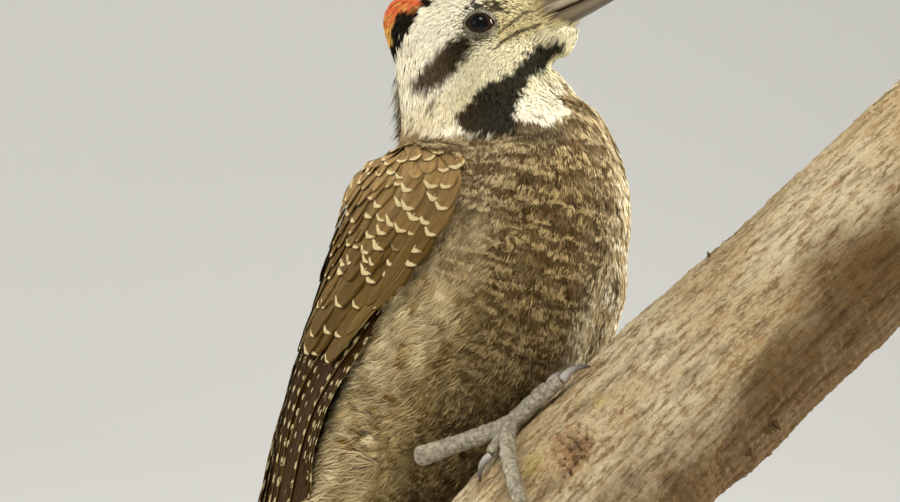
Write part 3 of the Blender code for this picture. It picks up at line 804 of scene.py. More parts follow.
def soft_coat(name, roots, length, half, depth, tuft, palette, seed, slot, twist):
    """One piece of soft plumage over the skin."""
    dice = chance(seed)
    angle = dice.normal(0, twist, len(roots)) + 0.16 * ripple(roots, 16, seed + 1, 1)
    path = trace(roots, length, 4, angle)
    made = barb_strips(path, length, half, depth, tuft, seed + 2)
    ob = new_mesh(name, made["co"], quads=made["quads"], tris=made["tris"])
    look = plumage(made["spots"], palette)
    per = made["per"]
    give(ob, "ground", np.repeat(with_share(look.ground, look.scallops), per, axis=0))
    give(ob, "mark", np.repeat(with_share(look.mark, look.bars), per, axis=0))
    give(ob, "vane", made["vane"])
    give(ob, "place", made["place"])
    uv = np.repeat(fit_unit(made["roots"]), per, axis=0)
    uv[:, 0] += PATCH * 0.4 * np.sign(made["vane"][:, 0])
    uv[:, 1] += PATCH * (made["t"] - 0.5)
    give_map(ob, uv)
    settle(ob, slot, soft_plumage())


def settle(ob, slot, material, *nodes):
    """Gives a finished piece its material and fixes it to the still model; its slot is not used."""
    if material:
        ob.data.materials.append(material)
    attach(ob, "root")
    if nodes:
        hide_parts(*nodes)
    print(f"{ob.name}: {sum(len(p.vertices) - 2 for p in ob.data.polygons)} triangles")


# ---------------------------------------------------------------- stiff feathers, each a thin closed vane


def vane_solids(path, length, half, shape, lift, rows, thick=0.16, bend=20.0, roll=0.05, seed=1):
    """Closed thin feathers along their shafts: a domed top, a flat back and a raised shaft."""
    dice = chance(seed)
    n = len(length)
    y = np.broadcast_to(np.asarray(rows)[None, :, None], (n, len(rows), 8)).copy()
    ring = np.array([-1, -0.55, 0, 0.55, 1, 0.55, 0, -0.55])
    under = np.array([0, 0, 0, 0, 0, 1, 1, 1.0])
    wide = shape(y[..., 0])[..., None] * half[:, None, None]
    ragged = 1 + dice.normal(0, 0.035, (n, len(rows), 1)) * (np.abs(ring) > 0.9)
    x = wide * ring * ragged
    z = lift(y, np.arange(n)[:, None, None]) * np.ones_like(x)
    z = z - x**2 / (2 * bend * MM) + dice.normal(0, roll, (n, 1, 1)) * x
    z = z + 0.05 * MM * (np.abs(ring) < 0.1) * (1 - under) - thick * MM * under * (1 - 0.6 * np.abs(ring))
    co, _ = path.at(x, y, z)
    per = len(rows) * 8
    base = np.arange(n)[:, None] * per
    quads = []
    for j in range(len(rows) - 1):
        for k in range(8):
            m = (k + 1) % 8
            quads.append(base + np.array([j * 8 + k, j * 8 + m, (j + 1) * 8 + m, (j + 1) * 8 + k]))
    first = base + np.arange(8)[::-1]
    last = base + (len(rows) - 1) * 8 + np.arange(8)
    return {
        "co": co.reshape(-1, 3),
        "quads": np.concatenate(quads),
        "fans": (first, last),
        "x": x.reshape(n, -1),
        "y": y.reshape(n, -1),
        "rel": np.broadcast_to(ring, x.shape).reshape(n, -1),
        "per": per,
    }


def covert_shape(y):
    tip = np.clip(1 - (np.clip(y - 0.70, 0, 1) / 0.302) ** 2.2, 0, 1)
    return np.clip(y / 0.3, 0.15, 1) ** 0.6 * np.sqrt(tip)


def flight_shape(y):
    tip = np.clip(1 - (np.clip(y - 0.88, 0, 1) / 0.121) ** 2, 0, 1)
    return np.clip(y / 0.1, 0.4, 1) ** 0.5 * (1 - 0.15 * y) * np.sqrt(tip)


def rectrix_shape(y):
    return np.clip(y / 0.15, 0.5, 1) ** 0.5 * (1 - 0.96 * ease(0.62, 1.02, y) ** 1.3)


def stiff_piece(name, sets, flip, *nodes):
    """One piece of stiff feathers; each set adds its vanes, colours and kind of marking."""
    co, quads, fans, maps, count = [], [], [], [], 0
    fields = {"ground": [], "mark": [], "vane": [], "web": []}
    for part in sets:
        made = part["made"]
        n, per = made["x"].shape
        co.append(made["co"])
        quads.append(made["quads"] + count)
        fans += [f + count for f in made["fans"]]
        count += n * per
        from_tip = (1 - made["y"]) * (part["length"] / MM)[:, None]
        across = made["x"] / MM
        if part["kind"] > 0.5:
            across = (part["half"] / MM)[:, None] - flip * across
        kind = np.full((n, per), float(part["kind"]))
        dice = np.repeat(chance(count).random(n)[:, None], per, axis=1)
        fields["vane"].append(np.stack([made["rel"], made["y"], dice], -1).reshape(-1, 3))
        fields["web"].append(np.stack([across, from_tip, kind], -1).reshape(-1, 3))
        for key in ("ground", "mark"):
            fields[key].append(np.repeat(with_share(part[key], 1.0), per, axis=0))
        maps.append((part["roots"], made, part["patch"]))
    ob = new_mesh(name, np.concatenate(co), quads=np.concatenate(quads), fans=fans)
    for key, values in fields.items():
        give(ob, key, np.concatenate(values))
    roots = fit_unit(np.concatenate([m[0] for m in maps]))
    uv, start = [], 0
    for _, made, patch in maps:
        n, per = made["x"].shape
        at = roots[start : start + n]
        start += n
        u = at[:, :1] + patch[0] * made["rel"]
        v = at[:, 1:] + patch[1] * (made["y"] - 0.5)
        uv.append(np.stack([u, v], -1).reshape(-1, 2))
    give_map(ob, np.concatenate(uv).clip(0, 1))
    settle(ob, "feathers_brown", stiff_plumage(), *nodes)


# ---------------------------------------------------------------- wings


class Wing:
    """The folded wing's outer face as a chart: metres down the spine, and 0 to 1 from front to back edge."""

    ROWS, COLUMNS = 72, 25

    def __init__(self, side):
        self.sign = SIDES[side]
        tree = BODY.wings[side]
        co, _ = solid_mesh(f"wing_{side}")
        station, _, _ = body_place(co)
        self.low, self.high = station.min() + 0.7 * MM, station.max() - 1.2 * MM
        rows = np.linspace(self.low, self.high, self.ROWS)
        angles = np.radians(np.linspace(35, 205, 171))
        reach = np.full((self.ROWS, len(angles)), np.nan)
        for i, s in enumerate(rows):
            centre = self.spine(s, SPINE)
            for j, a in enumerate(angles):
                way = Vector(self.ray(s, a))
                hit = tree.ray_cast(Vector(centre) + way * 0.09, -way, 0.09)
                if hit[0] is not None:
                    reach[i, j] = 0.09 - hit[3]
        grid = np.empty((self.ROWS, self.COLUMNS))
        turn = np.empty((self.ROWS, self.COLUMNS))
        edges = []
        for i in range(self.ROWS):
            ok = np.where(~np.isnan(reach[i]))[0]
            if len(ok) < 2:
                edges.append(edges[-1] if edges else (angles[90], angles[92]))
                continue
            edges.append((angles[ok[0]], angles[ok[-1]]))
        edges = np.array(edges)
        even_out(edges, 4)
        for i in range(self.ROWS):
            ok = ~np.isnan(reach[i])
            turn[i] = np.linspace(edges[i, 0], edges[i, 1], self.COLUMNS)
            if ok.sum() < 2:
                grid[i] = grid[i - 1] if i else 0.03
            else:
                grid[i] = np.interp(turn[i], angles[ok], reach[i, ok])
        for _ in range(3):
            even_out(grid)
            even_out(grid.T, 1, 0.4)
        places = np.empty((self.ROWS, self.COLUMNS, 3))
        for i, s in enumerate(rows):
            for j in range(self.COLUMNS):
                places[i, j] = self.spine(s, SPINE) + self.ray(s, turn[i, j]) * grid[i, j]
        down = np.gradient(places, axis=0)
        over = np.gradient(places, axis=1)
        way = unit(np.cross(down, over))
        centre = np.stack([self.spine(s, SPINE) for s in rows])[:, None]
        way *= np.sign(dot(way, places - centre))[..., None]
        for _ in range(2):
            way[1:-1] = unit(way[1:-1] + (way[:-2] + way[2:]) / 2)
            way[:, 1:-1] = unit(way[:, 1:-1] + (way[:, :-2] + way[:, 2:]) / 2)
        s, v = rows[:, None] / MM, np.linspace(0, 1, self.COLUMNS)
        proud = 1.4 + 0.8 * ease(37, 45, s) * ease(73, 63, s)
        proud = proud + 0.9 * ease(86, 96, s) + 0.9 * ease(105, 114, s)
        places = places + way * (proud * ease(28, 36, s) * ease(0.40, 0.92, v) * MM)[..., None]
        self.places, self.way = places, way
        self.width = lengths(places)

    def spine(self, s, table):
        return resampled(s, STATION, table)

    def ray(self, s, angle):
        front, aside = self.spine(s, FRONT), self.spine(s, ASIDE)
        return unit(front * math.cos(angle) + self.sign * aside * math.sin(angle))

    def at(self, s, v):
        """Place and outward way at a distance down the spine and a share of the width."""
        i = np.clip((s - self.low) / (self.high - self.low), -0.08, 1.03) * (self.ROWS - 1)
        j = np.clip(v, -0.6, 1.04) * (self.COLUMNS - 1)
        out = []
        for table in (self.places, self.way):
            i0 = np.clip(i.astype(int), 0, self.ROWS - 2)
            j0 = np.clip(j.astype(int), 0, self.COLUMNS - 2)
            wide = np.where(j < 0, 5, 1)
            a, b = (i - i0)[..., None], ((j - j0) / wide)[..., None]
            top = weighed(table[i0, j0], table[i0, j0 + wide], b)
            low = weighed(table[i0 + 1, j0], table[i0 + 1, j0 + wide], b)
            out.append(weighed(top, low, a))
        return out[0], unit(out[1])

    def width_at(self, s):
        return np.interp(s, np.linspace(self.low, self.high, self.ROWS), self.width)

    def path(self, s0, s1, v0, v1, steps, bend=1.0):
        t = np.linspace(0, 1, steps)[None]
        s = mix(s0[:, None], s1[:, None], t)
        v = mix(v0[:, None], v1[:, None], t**bend)
        place, way = self.at(s, v)
        path = Path(place, way, np.gradient(place, axis=1))
        path.chart = np.stack([v * 60, s / MM, 0 * s], -1)
        return path


def covert_rows(wing, seed):
    """Lesser, median and greater coverts, row after row, staggered like scales."""
    dice = chance(seed)
    sets = []
    rows = [(-1.2, 6.8, 2.1, 3.0), (2.0, 7.5, 2.3, 3.4), (5.4, 8.4, 2.5, 3.9)]
    rows += [(8.8 + 3.75 * k, 9.6, 2.8, 4.3) for k in range(6)]
    rows += [(31.5, 15.0, 3.2, 5.2), (36.5, 19.0, 3.3, 5.4), (41.0, 21.0, 3.4, 5.6)]
    for k, (start, long, half, gap) in enumerate(rows):
        s = wing.low + start * MM
        count = max(2, int(round(wing.width_at(s + 0.6 * long * MM) / (gap * MM))))
        v = (np.arange(count) + (0.25 if k % 2 else 0.75)) / count
        v = v + dice.normal(0, 0.12 / count, count)
        roots = s + dice.normal(0, 0.8, count) * MM + (0.5 - v) ** 2 * -6 * MM
        length = long * MM * dice.uniform(0.93, 1.05, count)
        drift = v + dice.normal(0, 0.01, count)
        sets.append((roots, length, np.full(count, half * MM) * dice.uniform(0.92, 1.06, count), v, drift, k))
    return sets


def dress_wing(side, palette, seed):
    """All the feathers of one folded wing, from small ones at the shoulder to long ones at its tip."""
    wing = Wing(side)
    flip = wing.sign
    span = wing.high - wing.low
    parts = []
    dice = chance(seed)

    def add(made, length, half, ground, mark, kind, roots, patch):
        n = len(length)
        shade = dice.uniform(0.86, 1.12, (n, 1))
        parts.append(
            {
                "made": made, "length": length, "half": half, "ground": ground * shade,
                "mark": np.tile(mark, (n, 1)), "kind": kind, "roots": roots, "patch": patch
            }
        )

    rows = np.concatenate([np.linspace(0, 0.8, 18), np.linspace(0.84, 1, 8)])
    under = [(0.04, -0.50 + 0.12 * k, 0.90 + 0.03 * k, 3.7) for k in range(4)]
    flights = [(0.02 + 0.045 * k, 0.03 + 0.115 * k, 1.0 - 0.024 * k, 2.6) for k in range(8)]
    flights += [(0.28 + 0.065 * k, 0.30 + 0.088 * k, 0.82 - 0.016 * k, 2.7) for k in range(7)]
    flights += [(0.62 + 0.08 * k, 0.70 + 0.085 * k, 0.68 - 0.045 * k, 2.8) for k in range(4)]
    flights = under + flights
    base, tip, end, half = (np.array(c) for c in zip(*flights))
    order = np.arange(len(flights))
    s0 = np.full(len(flights), wing.low + 0.30 * span)
    s1 = wing.low + end * span
    path = wing.path(s0, s1, base, tip, 30)
    length = lengths(path.place)
    top = -0.75 * MM + 1.05 * MM * order / len(order)
    top[: len(under)] -= 0.5 * MM

    def stacked(y, row):
        return top[row] - 0.8 * MM * ease(0.5, 0.0, y)

    made = vane_solids(path, length, half * MM, flight_shape, stacked, rows, 0.14, 26.0, 0.02, seed)
    ground = np.tile(palette.flight, (len(half), 1))
    add(
        made, length, half * MM, ground, palette.spot, 1,
        path.chart[:, 0, :2] + np.stack([order * 1.5, order * 2.0], 1), (0.012, 0.30)
    )
    rows = np.array([0, 0.2, 0.42, 0.6, 0.74, 0.84, 0.91, 0.96, 1.0])
    for roots, length, half, v, drift, k in covert_rows(wing, seed + 1):
        path = wing.path(roots, roots + length, v, drift, 7)

        def shingled(y, row, k=k):
            tucked = max(0.42, 1.3 - 0.45 * k)
            return (-tucked * (1 - y) ** 1.4 + 0.02 + 0.012 * k + 0.012 * (row % 3)) * MM

        made = vane_solids(path, length, half, covert_shape, shingled, rows, 0.05, 60.0, 0.02, seed + 10 + k)
        ground = np.tile(
            mix(np.array(palette.mantle), np.array(palette.covert), min(1, k / 7)), (len(half), 1)
        )
        add(made, length, half, ground, palette.spot, 0, path.chart[:, 3, :2], (0.016, 0.035))
    rows = np.concatenate([np.linspace(0, 0.85, 14), np.linspace(0.88, 1, 6)])
    s0 = wing.low + np.array([9.0, 17.0, 24.0]) * MM
    s1 = wing.low + np.array([43.0, 52.0, 60.0]) * MM
    path = wing.path(s0, s1, np.array([0.10, 0.07, 0.04]), np.array([0.05, 0.02, -0.02]), 20)
    length = lengths(path.place)
    half = np.array([1.7, 1.6, 1.6]) * MM

    def edging(y, row):
        return (0.42 - 0.10 * row - 1.3 * (1 - y) ** 2.5) * MM

    made = vane_solids(path, length, half, flight_shape, edging, rows, 0.10, 9.0, 0.02, seed + 40)
    add(
        made, length, half, np.tile(palette.covert, (3, 1)), palette.spot, 3, path.chart[:, 6, :2],
        (0.01, 0.15)
    )
    stiff_piece(f"feathers_wing_{side}", parts, flip)


# ---------------------------------------------------------------- tail and back


def dress_tail(palette):
    """Ten stiff pointed tail feathers, the middle pair on top, in the solid tail's own place."""
    co, tri = solid_mesh("tail")
    tree = tree_of(co, tri)
    station, _, _ = body_place(co)
    start, stop = co[station < station.min() + 8 * MM].mean(0), co[station > station.max() - 6 * MM].mean(0)
    along = unit(stop - start)
    index = len(SPINE) - 20
    across = unit(ASIDE[index] - along * (ASIDE[index] @ along))
    back = np.cross(across, along)
    back = back * np.sign(-(back @ FRONT[index]))
    u, v = (co - start) @ along, (co - start) @ across
    far = np.linspace(0, u.max() - 2 * MM, 20)
    near = [v[np.abs(u - a) < 5 * MM] for a in far]
    low, high = np.array([n.min() for n in near]), np.array([n.max() for n in near])
    q = np.linspace(-0.86, 0.86, 10)
    rank = np.abs(np.arange(10) - 4.5) - 0.5
    places = []
    for k in range(10):
        line = []
        for a in np.linspace(-4 * MM, u.max(), 60):
            b = np.interp(a, far, mix(low, high, 0.5 + q[k] / 2))
            spot = start + along * a + across * b
            hit = tree.ray_cast(Vector(spot + back * 0.03), Vector(-back), 0.06)
            line.append(np.array(hit[0]) if hit[0] is not None else None)
        good = [i for i, p in enumerate(line) if p is not None]
        line = np.array([line[i] for i in good])
        keep = np.linspace(0, len(line) - 1, 16)
        line = resampled(keep, np.arange(len(line)), line)
        even_out(line, 3)
        places.append(line)
    places = np.array(places)
    way = np.tile(back, (10, 16, 1))
    path = Path(places, way, np.gradient(places, axis=1))
    path.chart = np.stack(
        [np.tile(q[:, None] * 30, (1, 16)), np.tile(np.linspace(0, 60, 16), (10, 1)), np.zeros((10, 16))],
        -1
    )
    length = lengths(places)
    half = np.full(10, 3.1 * MM)
    rows = np.concatenate([np.linspace(0, 0.55, 9), np.linspace(0.6, 1, 12)])

    def stacked(y, row):
        return (0.35 - 0.22 * rank[row]) * MM + 0 * y

    made = vane_solids(path, length, half, rectrix_shape, stacked, rows, 0.35, 18.0, 0.01, 5)
    part = {
        "made": made, "length": length, "half": half, "kind": 2, "patch": (0.03, 0.5),
        "roots": np.stack([q * 30, 30 + 0 * q], 1), "ground": np.tile(palette.flight, (10, 1)),
        "mark": np.tile(palette.tail_bar, (10, 1)),
    }
    stiff_piece("feathers_tail", [part], 1, "tail")


def dress_back(palette, seed=71):
    """Mantle and rump: short broad vanes with pale tips, from the neck to the tail."""
    gap = mix(2.9, 3.4, ease(40, 80, BODY.s)) * MM
    z = BODY.centre[:, 2] / MM
    wanted = (BODY.side > 100) & (z < WHITE_LINE + 1.0) & (
        BODY.to_wing > mix(0.4, 4.5, ease(50, 70, BODY.s)) * MM
    )
    roots = scatter(gap, wanted, seed)
    dice = chance(seed + 1)
    n = len(roots)
    length = 7.5 * MM * dice.uniform(0.9, 1.1, n)
    half = 2.2 * MM * dice.uniform(0.9, 1.08, n)
    path = trace(roots, length, 5, dice.normal(0, 0.07, n))
    rows = np.array([0, 0.25, 0.5, 0.68, 0.8, 0.88, 0.94, 0.98, 1.0])

    def shingled(y, row):
        return (-1.3 * (1 - y) ** 1.7 + 0.1) * MM

    made = vane_solids(path, length, half, covert_shape, shingled, rows, 0.08, 20.0, 0.04, seed + 2)
    look = plumage(path.middle(0.7), palette)
    part = {
        "made": made, "length": length, "half": half, "kind": 0, "patch": (0.014, 0.03),
        "roots": path.chart[:, 2, :2], "ground": look.ground * dice.uniform(0.86, 1.12, (n, 1)),
        "mark": look.mark,
    }
    stiff_piece("feathers_back", [part], 1)


# ---------------------------------------------------------------- soft coats, zone by zone


def head_coat(palette):
    """Face and crown: the finest tufts, shortest round the bill and eyes."""
    forward, rise, aside = head_place(BODY.centre)
    z = BODY.centre[:, 2] / MM
    on_head = (z > white_edge(BODY.side) - 1.0) & (BODY.to_wing > 0.5 * MM)
    bare = (BODY.to_eye < 4.05 * MM) | (BODY.to_bill < 0.3 * MM)
    front = forward + 0.35 * rise > -6.5
    for name, zone, gap, barbs, seed in (
        ("coat_face", front & ~(z < 229), 0.48, 10, 101),
        ("coat_neck", ~(front & ~(z < 229)), 0.62, 14, 131),
    ):
        roots = scatter(mix(gap, gap * 1.12, ease(-4, -14, forward)) * MM, on_head & zone & ~bare, seed)
        f, u, _ = head_place(roots)
        height = roots[:, 2] / MM
        long = mix(2.9, 4.6, ease(2, -18, f + 0.4 * u))
        long = mix(long, 1.9, ease(8, 14, f) * ease(-16, -9, u))
        eye = np.min([np.linalg.norm(roots - e, axis=1) for e in EYES.values()], axis=0)
        long = mix(1.2, long, ease(4.2, 8.5, eye / MM))
        long = mix(long, 5.6, ease(229, 219, height))
        length = long * MM * chance(seed + 1).uniform(0.85, 1.15, len(roots))
        half = length * 0.20
        depth = coat_depth(roots)
        tuft = Tuft(barbs, 3, 0.22, 1.0, 0.14, 0.05, 0.5)
        soft_coat(name, roots, length, half, depth, tuft, palette, seed + 2, "feathers_white", 0.10)
    chin = (forward > 17) & (rise < -6) & (rise > -12) & (np.abs(aside) < 5) & (z > 233)
    hind = (forward < -15.0) & (rise < -0.5) & (rise > -12) & (np.abs(aside) < 4.6) & (z > 222)
    for name, zone, gap, long, stand, seed in (
        ("coat_chin", chin & (BODY.to_bill > 0.15 * MM), 0.6, 5.2, 0.12, 161),
        ("coat_nape", hind, 0.75, 8.6, 0.50, 181),
    ):
        roots = scatter(gap * MM, zone, seed)
        length = long * MM * chance(seed + 1).uniform(0.75, 1.15, len(roots))
        tuft = Tuft(9, 4, 0.30, 0.8, 0.16, stand, 0.4)
        half, depth = length * 0.20, coat_depth(roots)
        soft_coat(name, roots, length, half, depth, tuft, palette, seed + 2, "feathers_white", 0.12)


def under_coat(palette):
    """Breast, belly, flanks, thighs and vent: softer and longer the lower they are."""
    z = BODY.centre[:, 2] / MM
    low = (z < white_edge(BODY.side) + 0.6) & (BODY.side < 122) & (BODY.to_wing > 0.5 * MM)
    low |= (BODY.to_wing > mix(0.5, 4.0, ease(70, 90, BODY.side)) * MM) & (BODY.s > 108) & (z < WHITE_LINE)
    fringe = (BODY.to_wing > 1.0 * MM) & (BODY.to_wing < 5.0 * MM) & (BODY.side > 45)
    fringe &= BODY.side < mix(92, 119, ease(56, 104, BODY.s))
    fringe &= (BODY.s > 32) & (BODY.s < 134)
    for name, zone, gap, barbs, seed in (
        ("coat_breast", low & (BODY.s < 64), 1.26, 26, 201),
        ("coat_belly", low & (BODY.s >= 64) & (BODY.s < 100), 1.34, 29, 231),
        ("coat_vent", low & (BODY.s >= 100), 1.46, 28, 261),
        ("coat_fringe", fringe, 1.5, 16, 291),
    ):
        roots = scatter(gap * MM, zone, seed)
        s = body_place(roots)[0] / MM
        long = mix(6.4, 8.4, ease(40, 70, s))
        long = mix(long, 11.5, ease(75, 115, s))
        leg = gap_to(roots, BODY.legs.values()) / MM
        long = mix(5.5, long, ease(0.3, 3.0, leg))
        length = long * MM * chance(seed + 1).uniform(0.82, 1.16, len(roots))
        half = length * mix(0.30, 0.24, ease(60, 95, s))
        depth = coat_depth(roots)
        loose, stand = (0.12, 0.05) if name == "coat_breast" else (0.20, 0.10)
        if name == "coat_fringe":
            loose, stand = 0.26, 0.20
            length, half = 0.68 * length, 0.8 * half
        tuft = Tuft(barbs, 4, 0.27, 1.0, loose, stand, 0.6)
        soft_coat(name, roots, length, half, depth, tuft, palette, seed + 2, "feathers_barred", 0.17)


# ---------------------------------------------------------------- finishes


class Wire:
    """A value on its way through a finish; sums, noise and blends of it lay the nodes."""

    def __init__(self, bench, socket):
        self.bench, self.socket = bench, socket

    def put(self, kind, values, out=0, **settings):
        return Wire(self.bench, self.bench.put(kind, values, **settings).outputs[out])

    def math(self, operation, *others):
        return self.put("ShaderNodeMath", dict(enumerate((self, *others))), operation=operation)

    def __rsub__(self, number):
        return self.math("MULTIPLY_ADD", -1.0, number)

    def soft(self, low, high, to_low=0.0, to_high=1.0):
        values = {"Value": self, "From Min": low, "From Max": high, "To Min": to_low, "To Max": to_high}
        return self.put("ShaderNodeMapRange", values, interpolation_type="SMOOTHSTEP")

    def between(self, a, b, way="MIX"):
        """One colour where this share is 0 and the other where it is 1."""
        return self.put("ShaderNodeMix", {0: self, 6: a, 7: b}, 2, data_type="RGBA", blend_type=way)

    def lay(self, share, top, way="MIX"):
        """This colour with another laid over it."""
        return self.put("ShaderNodeMix", {0: share, 6: self, 7: top}, 2, data_type="RGBA", blend_type=way)

    def lit(self, light):
        """This colour made darker or lighter by a number."""
        grey = self.put("ShaderNodeCombineColor", {"Red": light, "Green": light, "Blue": light})
        return self.lay(1.0, grey, "MULTIPLY")

    def channel(self, index):
        return self.put("ShaderNodeSeparateColor", {0: self}, index)

    def split(self):
        node = self.bench.put("ShaderNodeSeparateXYZ", {0: self})
        return [Wire(self.bench, out) for out in node.outputs]

    def shifted(self, by, operation="ADD"):
        return self.put("ShaderNodeVectorMath", {0: self, 1: by}, operation=operation)

    def scaled(self, x, y=None, z=0.0):
        return self.put("ShaderNodeMapping", {"Vector": self, "Scale": x if y is None else (x, y, z)})

    def noise(self, scale=1.0, detail=2.0, rough=0.5):
        values = {"Vector": self, "Scale": scale, "Detail": detail, "Roughness": rough}
        return self.put("ShaderNodeTexNoise", values, "Fac")

    def cells(self, scale, **settings):
        return self.put("ShaderNodeTexVoronoi", {"Vector": self, "Scale": scale}, "Distance", **settings)


WORDS = {
    "__add__": "ADD", "__radd__": "ADD", "__sub__": "SUBTRACT", "__mul__": "MULTIPLY",
    "__truediv__": "DIVIDE"
}
WORDS.update(
    {"__mod__": "FLOORED_MODULO", "__abs__": "ABSOLUTE", "sine": "SINE", "root": "SQRT", "most": "MAXIMUM"}
)
for word, operation in WORDS.items():
    setattr(Wire, word, lambda self, *other, operation=operation: self.math(operation, *other))


class Bench:
    """Lays out nodes: a link where a value is a socket, a number or colour otherwise."""

    def __init__(self, tree, shader=None):
        self.tree, self.shader = tree, shader

    def put(self, kind, values=(), **settings):
        node = self.tree.nodes.new(kind)
        for key, value in settings.items():
            setattr(node, key, value)
        for key, value in dict(values).items():
            self.plug(node.inputs[key], value)
        return node

    def plug(self, socket, value):
        value = getattr(value, "socket", value)
        if isinstance(value, bpy.types.NodeSocket):
            self.tree.links.new(value, socket)
            return
        if socket.type == "RGBA" and len(value) == 3:
            value = (*value, 1.0)
        socket.default_value = value

    def field(self, name, kind="Vector"):
        node = self.put("ShaderNodeAttribute", attribute_name=name, attribute_type="GEOMETRY")
        return Wire(self, node.outputs[kind])

    def place(self):
        return Wire(self, self.put("ShaderNodeTexCoord").outputs["Object"])

    def group(self, tree, **values):
        node = self.put("ShaderNodeGroup", values, node_tree=tree)
        return {socket.name: Wire(self, socket) for socket in node.outputs}

    def bump(self, height, strength, distance):
        node = self.put("ShaderNodeBump", {"Height": height, "Strength": strength, "Distance": distance})
        self.plug(self.shader.inputs["Normal"], node.outputs[0])

    def rough(self, value):
        self.plug(self.shader.inputs["Roughness"], value)


def finish(name, roughness=0.6, **shader_values):
    """Marks a function that lays a material's nodes and gives back its colour; the material is made once."""

    def wrap(build):
        def material():
            if name in bpy.data.materials:
                return bpy.data.materials[name]
            made = bpy.data.materials.new(name)
            made.use_nodes = True
            shader = made.node_tree.nodes["Principled BSDF"]
            for key, value in {"Roughness": roughness, **shader_values}.items():
                shader.inputs[key.replace("_", " ")].default_value = value
            bench = Bench(made.node_tree, shader)
            bench.plug(shader.inputs["Base Color"], build(bench))
            return made

        return material

    return wrap


def shared_effect(name, inputs, outputs):
    """Marks a function that lays a shader group's nodes and gives back its outputs; it is made once."""

    def wrap(build):
        def group():
            if name in bpy.data.node_groups:
                return bpy.data.node_groups[name]
            tree = bpy.data.node_groups.new(name, "ShaderNodeTree")
            for key, kind, *default in inputs:
                socket = tree.interface.new_socket(key, in_out="INPUT", socket_type=f"NodeSocket{kind}")
                if default:
                    socket.default_value = default[0]
            for key, kind in outputs:
                tree.interface.new_socket(key, in_out="OUTPUT", socket_type=f"NodeSocket{kind}")
            bench = Bench(tree)
            given, leave = bench.put("NodeGroupInput").outputs, bench.put("NodeGroupOutput").inputs
            made = build(bench, *[Wire(bench, given[row[0]]) for row in inputs])
            for (key, _), value in zip(outputs, made):
                bench.plug(leave[key], value)
            return tree

        return group

    return wrap


BARRING_INPUTS = (
    ("Ground", "Color"), ("Mark", "Color"), (
        "Scallops", "Float", 1.0
    ), ("Bars", "Float", 1.0), ("Vane", "Vector"),
    ("Place", "Vector"), ("Bar spacing", "Float", 2.9), ("Scallop density", "Vector", (0.205, 0.33, 0.0)),
)


@shared_effect("barring", BARRING_INPUTS, (("Colour", "Color"),))
def barring(bench, ground, mark, scallops, bars, vane, place, spacing, density):
    """Scallops near each feather's tip, and wavy bars that run round the body, over a ground colour."""
    own = vane.split()[2]
    wave = place.scaled(0.15, 0.10, 1).noise()
    bend = place.scaled(0.36, 0.30, 1).noise(1, 1)
    phase = place.split()[1] / spacing + wave * 4.6 + bend * 1.1 + own * 0.14
    bar = (phase * TURN).sine().soft(-0.05, 0.70)
    bar = bar * place.scaled(0.30, 0.30, 1).noise(1, 1).soft(0.38, 0.55)
    drift = bench.put("ShaderNodeCombineXYZ", {"X": wave * 3.0, "Y": own * 0.16 + (wave * 2.0 + bend)})
    spot = place.scaled(density).shifted(drift.outputs[0])
    values = {"Vector": spot, "Scale": 1.0, "Randomness": 0.8}
    cell = bench.put("ShaderNodeTexVoronoi", values, voronoi_dimensions="2D").outputs
    dx, dy, _ = spot.shifted(cell["Position"], "SUBTRACT").split()
    dy = dy + 0.16
    crescent = abs((dx * dx + dy * dy).root() - 0.48).soft(0.22, 0.10) * dy.soft(-0.22, -0.02)
    crescent = crescent * Wire(bench, cell["Color"]).channel(0).soft(0.0, 0.5, 0.25, 1.0)
    return [(crescent * scallops).most(bar * bars).between(ground, mark)]


def barred(bench, **vane):
    """Ground and marks as the piece's own attributes give them."""
    ground, mark = (bench.field(name, "Color") for name in ("ground", "mark"))
    shares = {"Scallops": bench.field("ground", "Alpha"), "Bars": bench.field("mark", "Alpha")}
    return bench.group(
        barring(), Ground=ground, Mark=mark, Place=bench.field("place"), **shares, **vane
    )["Colour"]


@finish("soft feathers", 0.85, Specular_IOR_Level=0.05)
def soft_plumage(bench):
    vane = bench.field("vane")
    _, y, strand = vane.split()
    frayed = strand.soft(0.55, 1.0, 0.0, 0.34) * bench.field("mark", "Alpha")
    colour = barred(bench, Vane=vane).lay(frayed, bench.field("mark", "Color"))
    pale = colour.channel(1)
    light = pale.soft(0.15, 0.5, 0.36, 0.16) * (strand - 0.5) + 1.0
    # Each barb darkens towards its root: painted shade where it lies under the feathers above.
    return colour.lit(light * y.soft(0.0, 0.6, pale.soft(0.2, 0.5, 0.76, 0.9), 1.0))


@finish("down on skin", 0.85)
def skin_finish(bench):
    bench.bump(bench.place().noise(1600.0, 3.0), 0.5, 0.0002)
    # The skin's colours are taken a fifth of the way to near black: painted shade for the skin seen in the
    # gaps between feathers.
    return barred(bench).lay(0.22, (0.02, 0.015, 0.01))


VANE_OUTPUTS = tuple((name, "Float") for name in ("Mark", "Shaft", "Barbs", "Edge"))


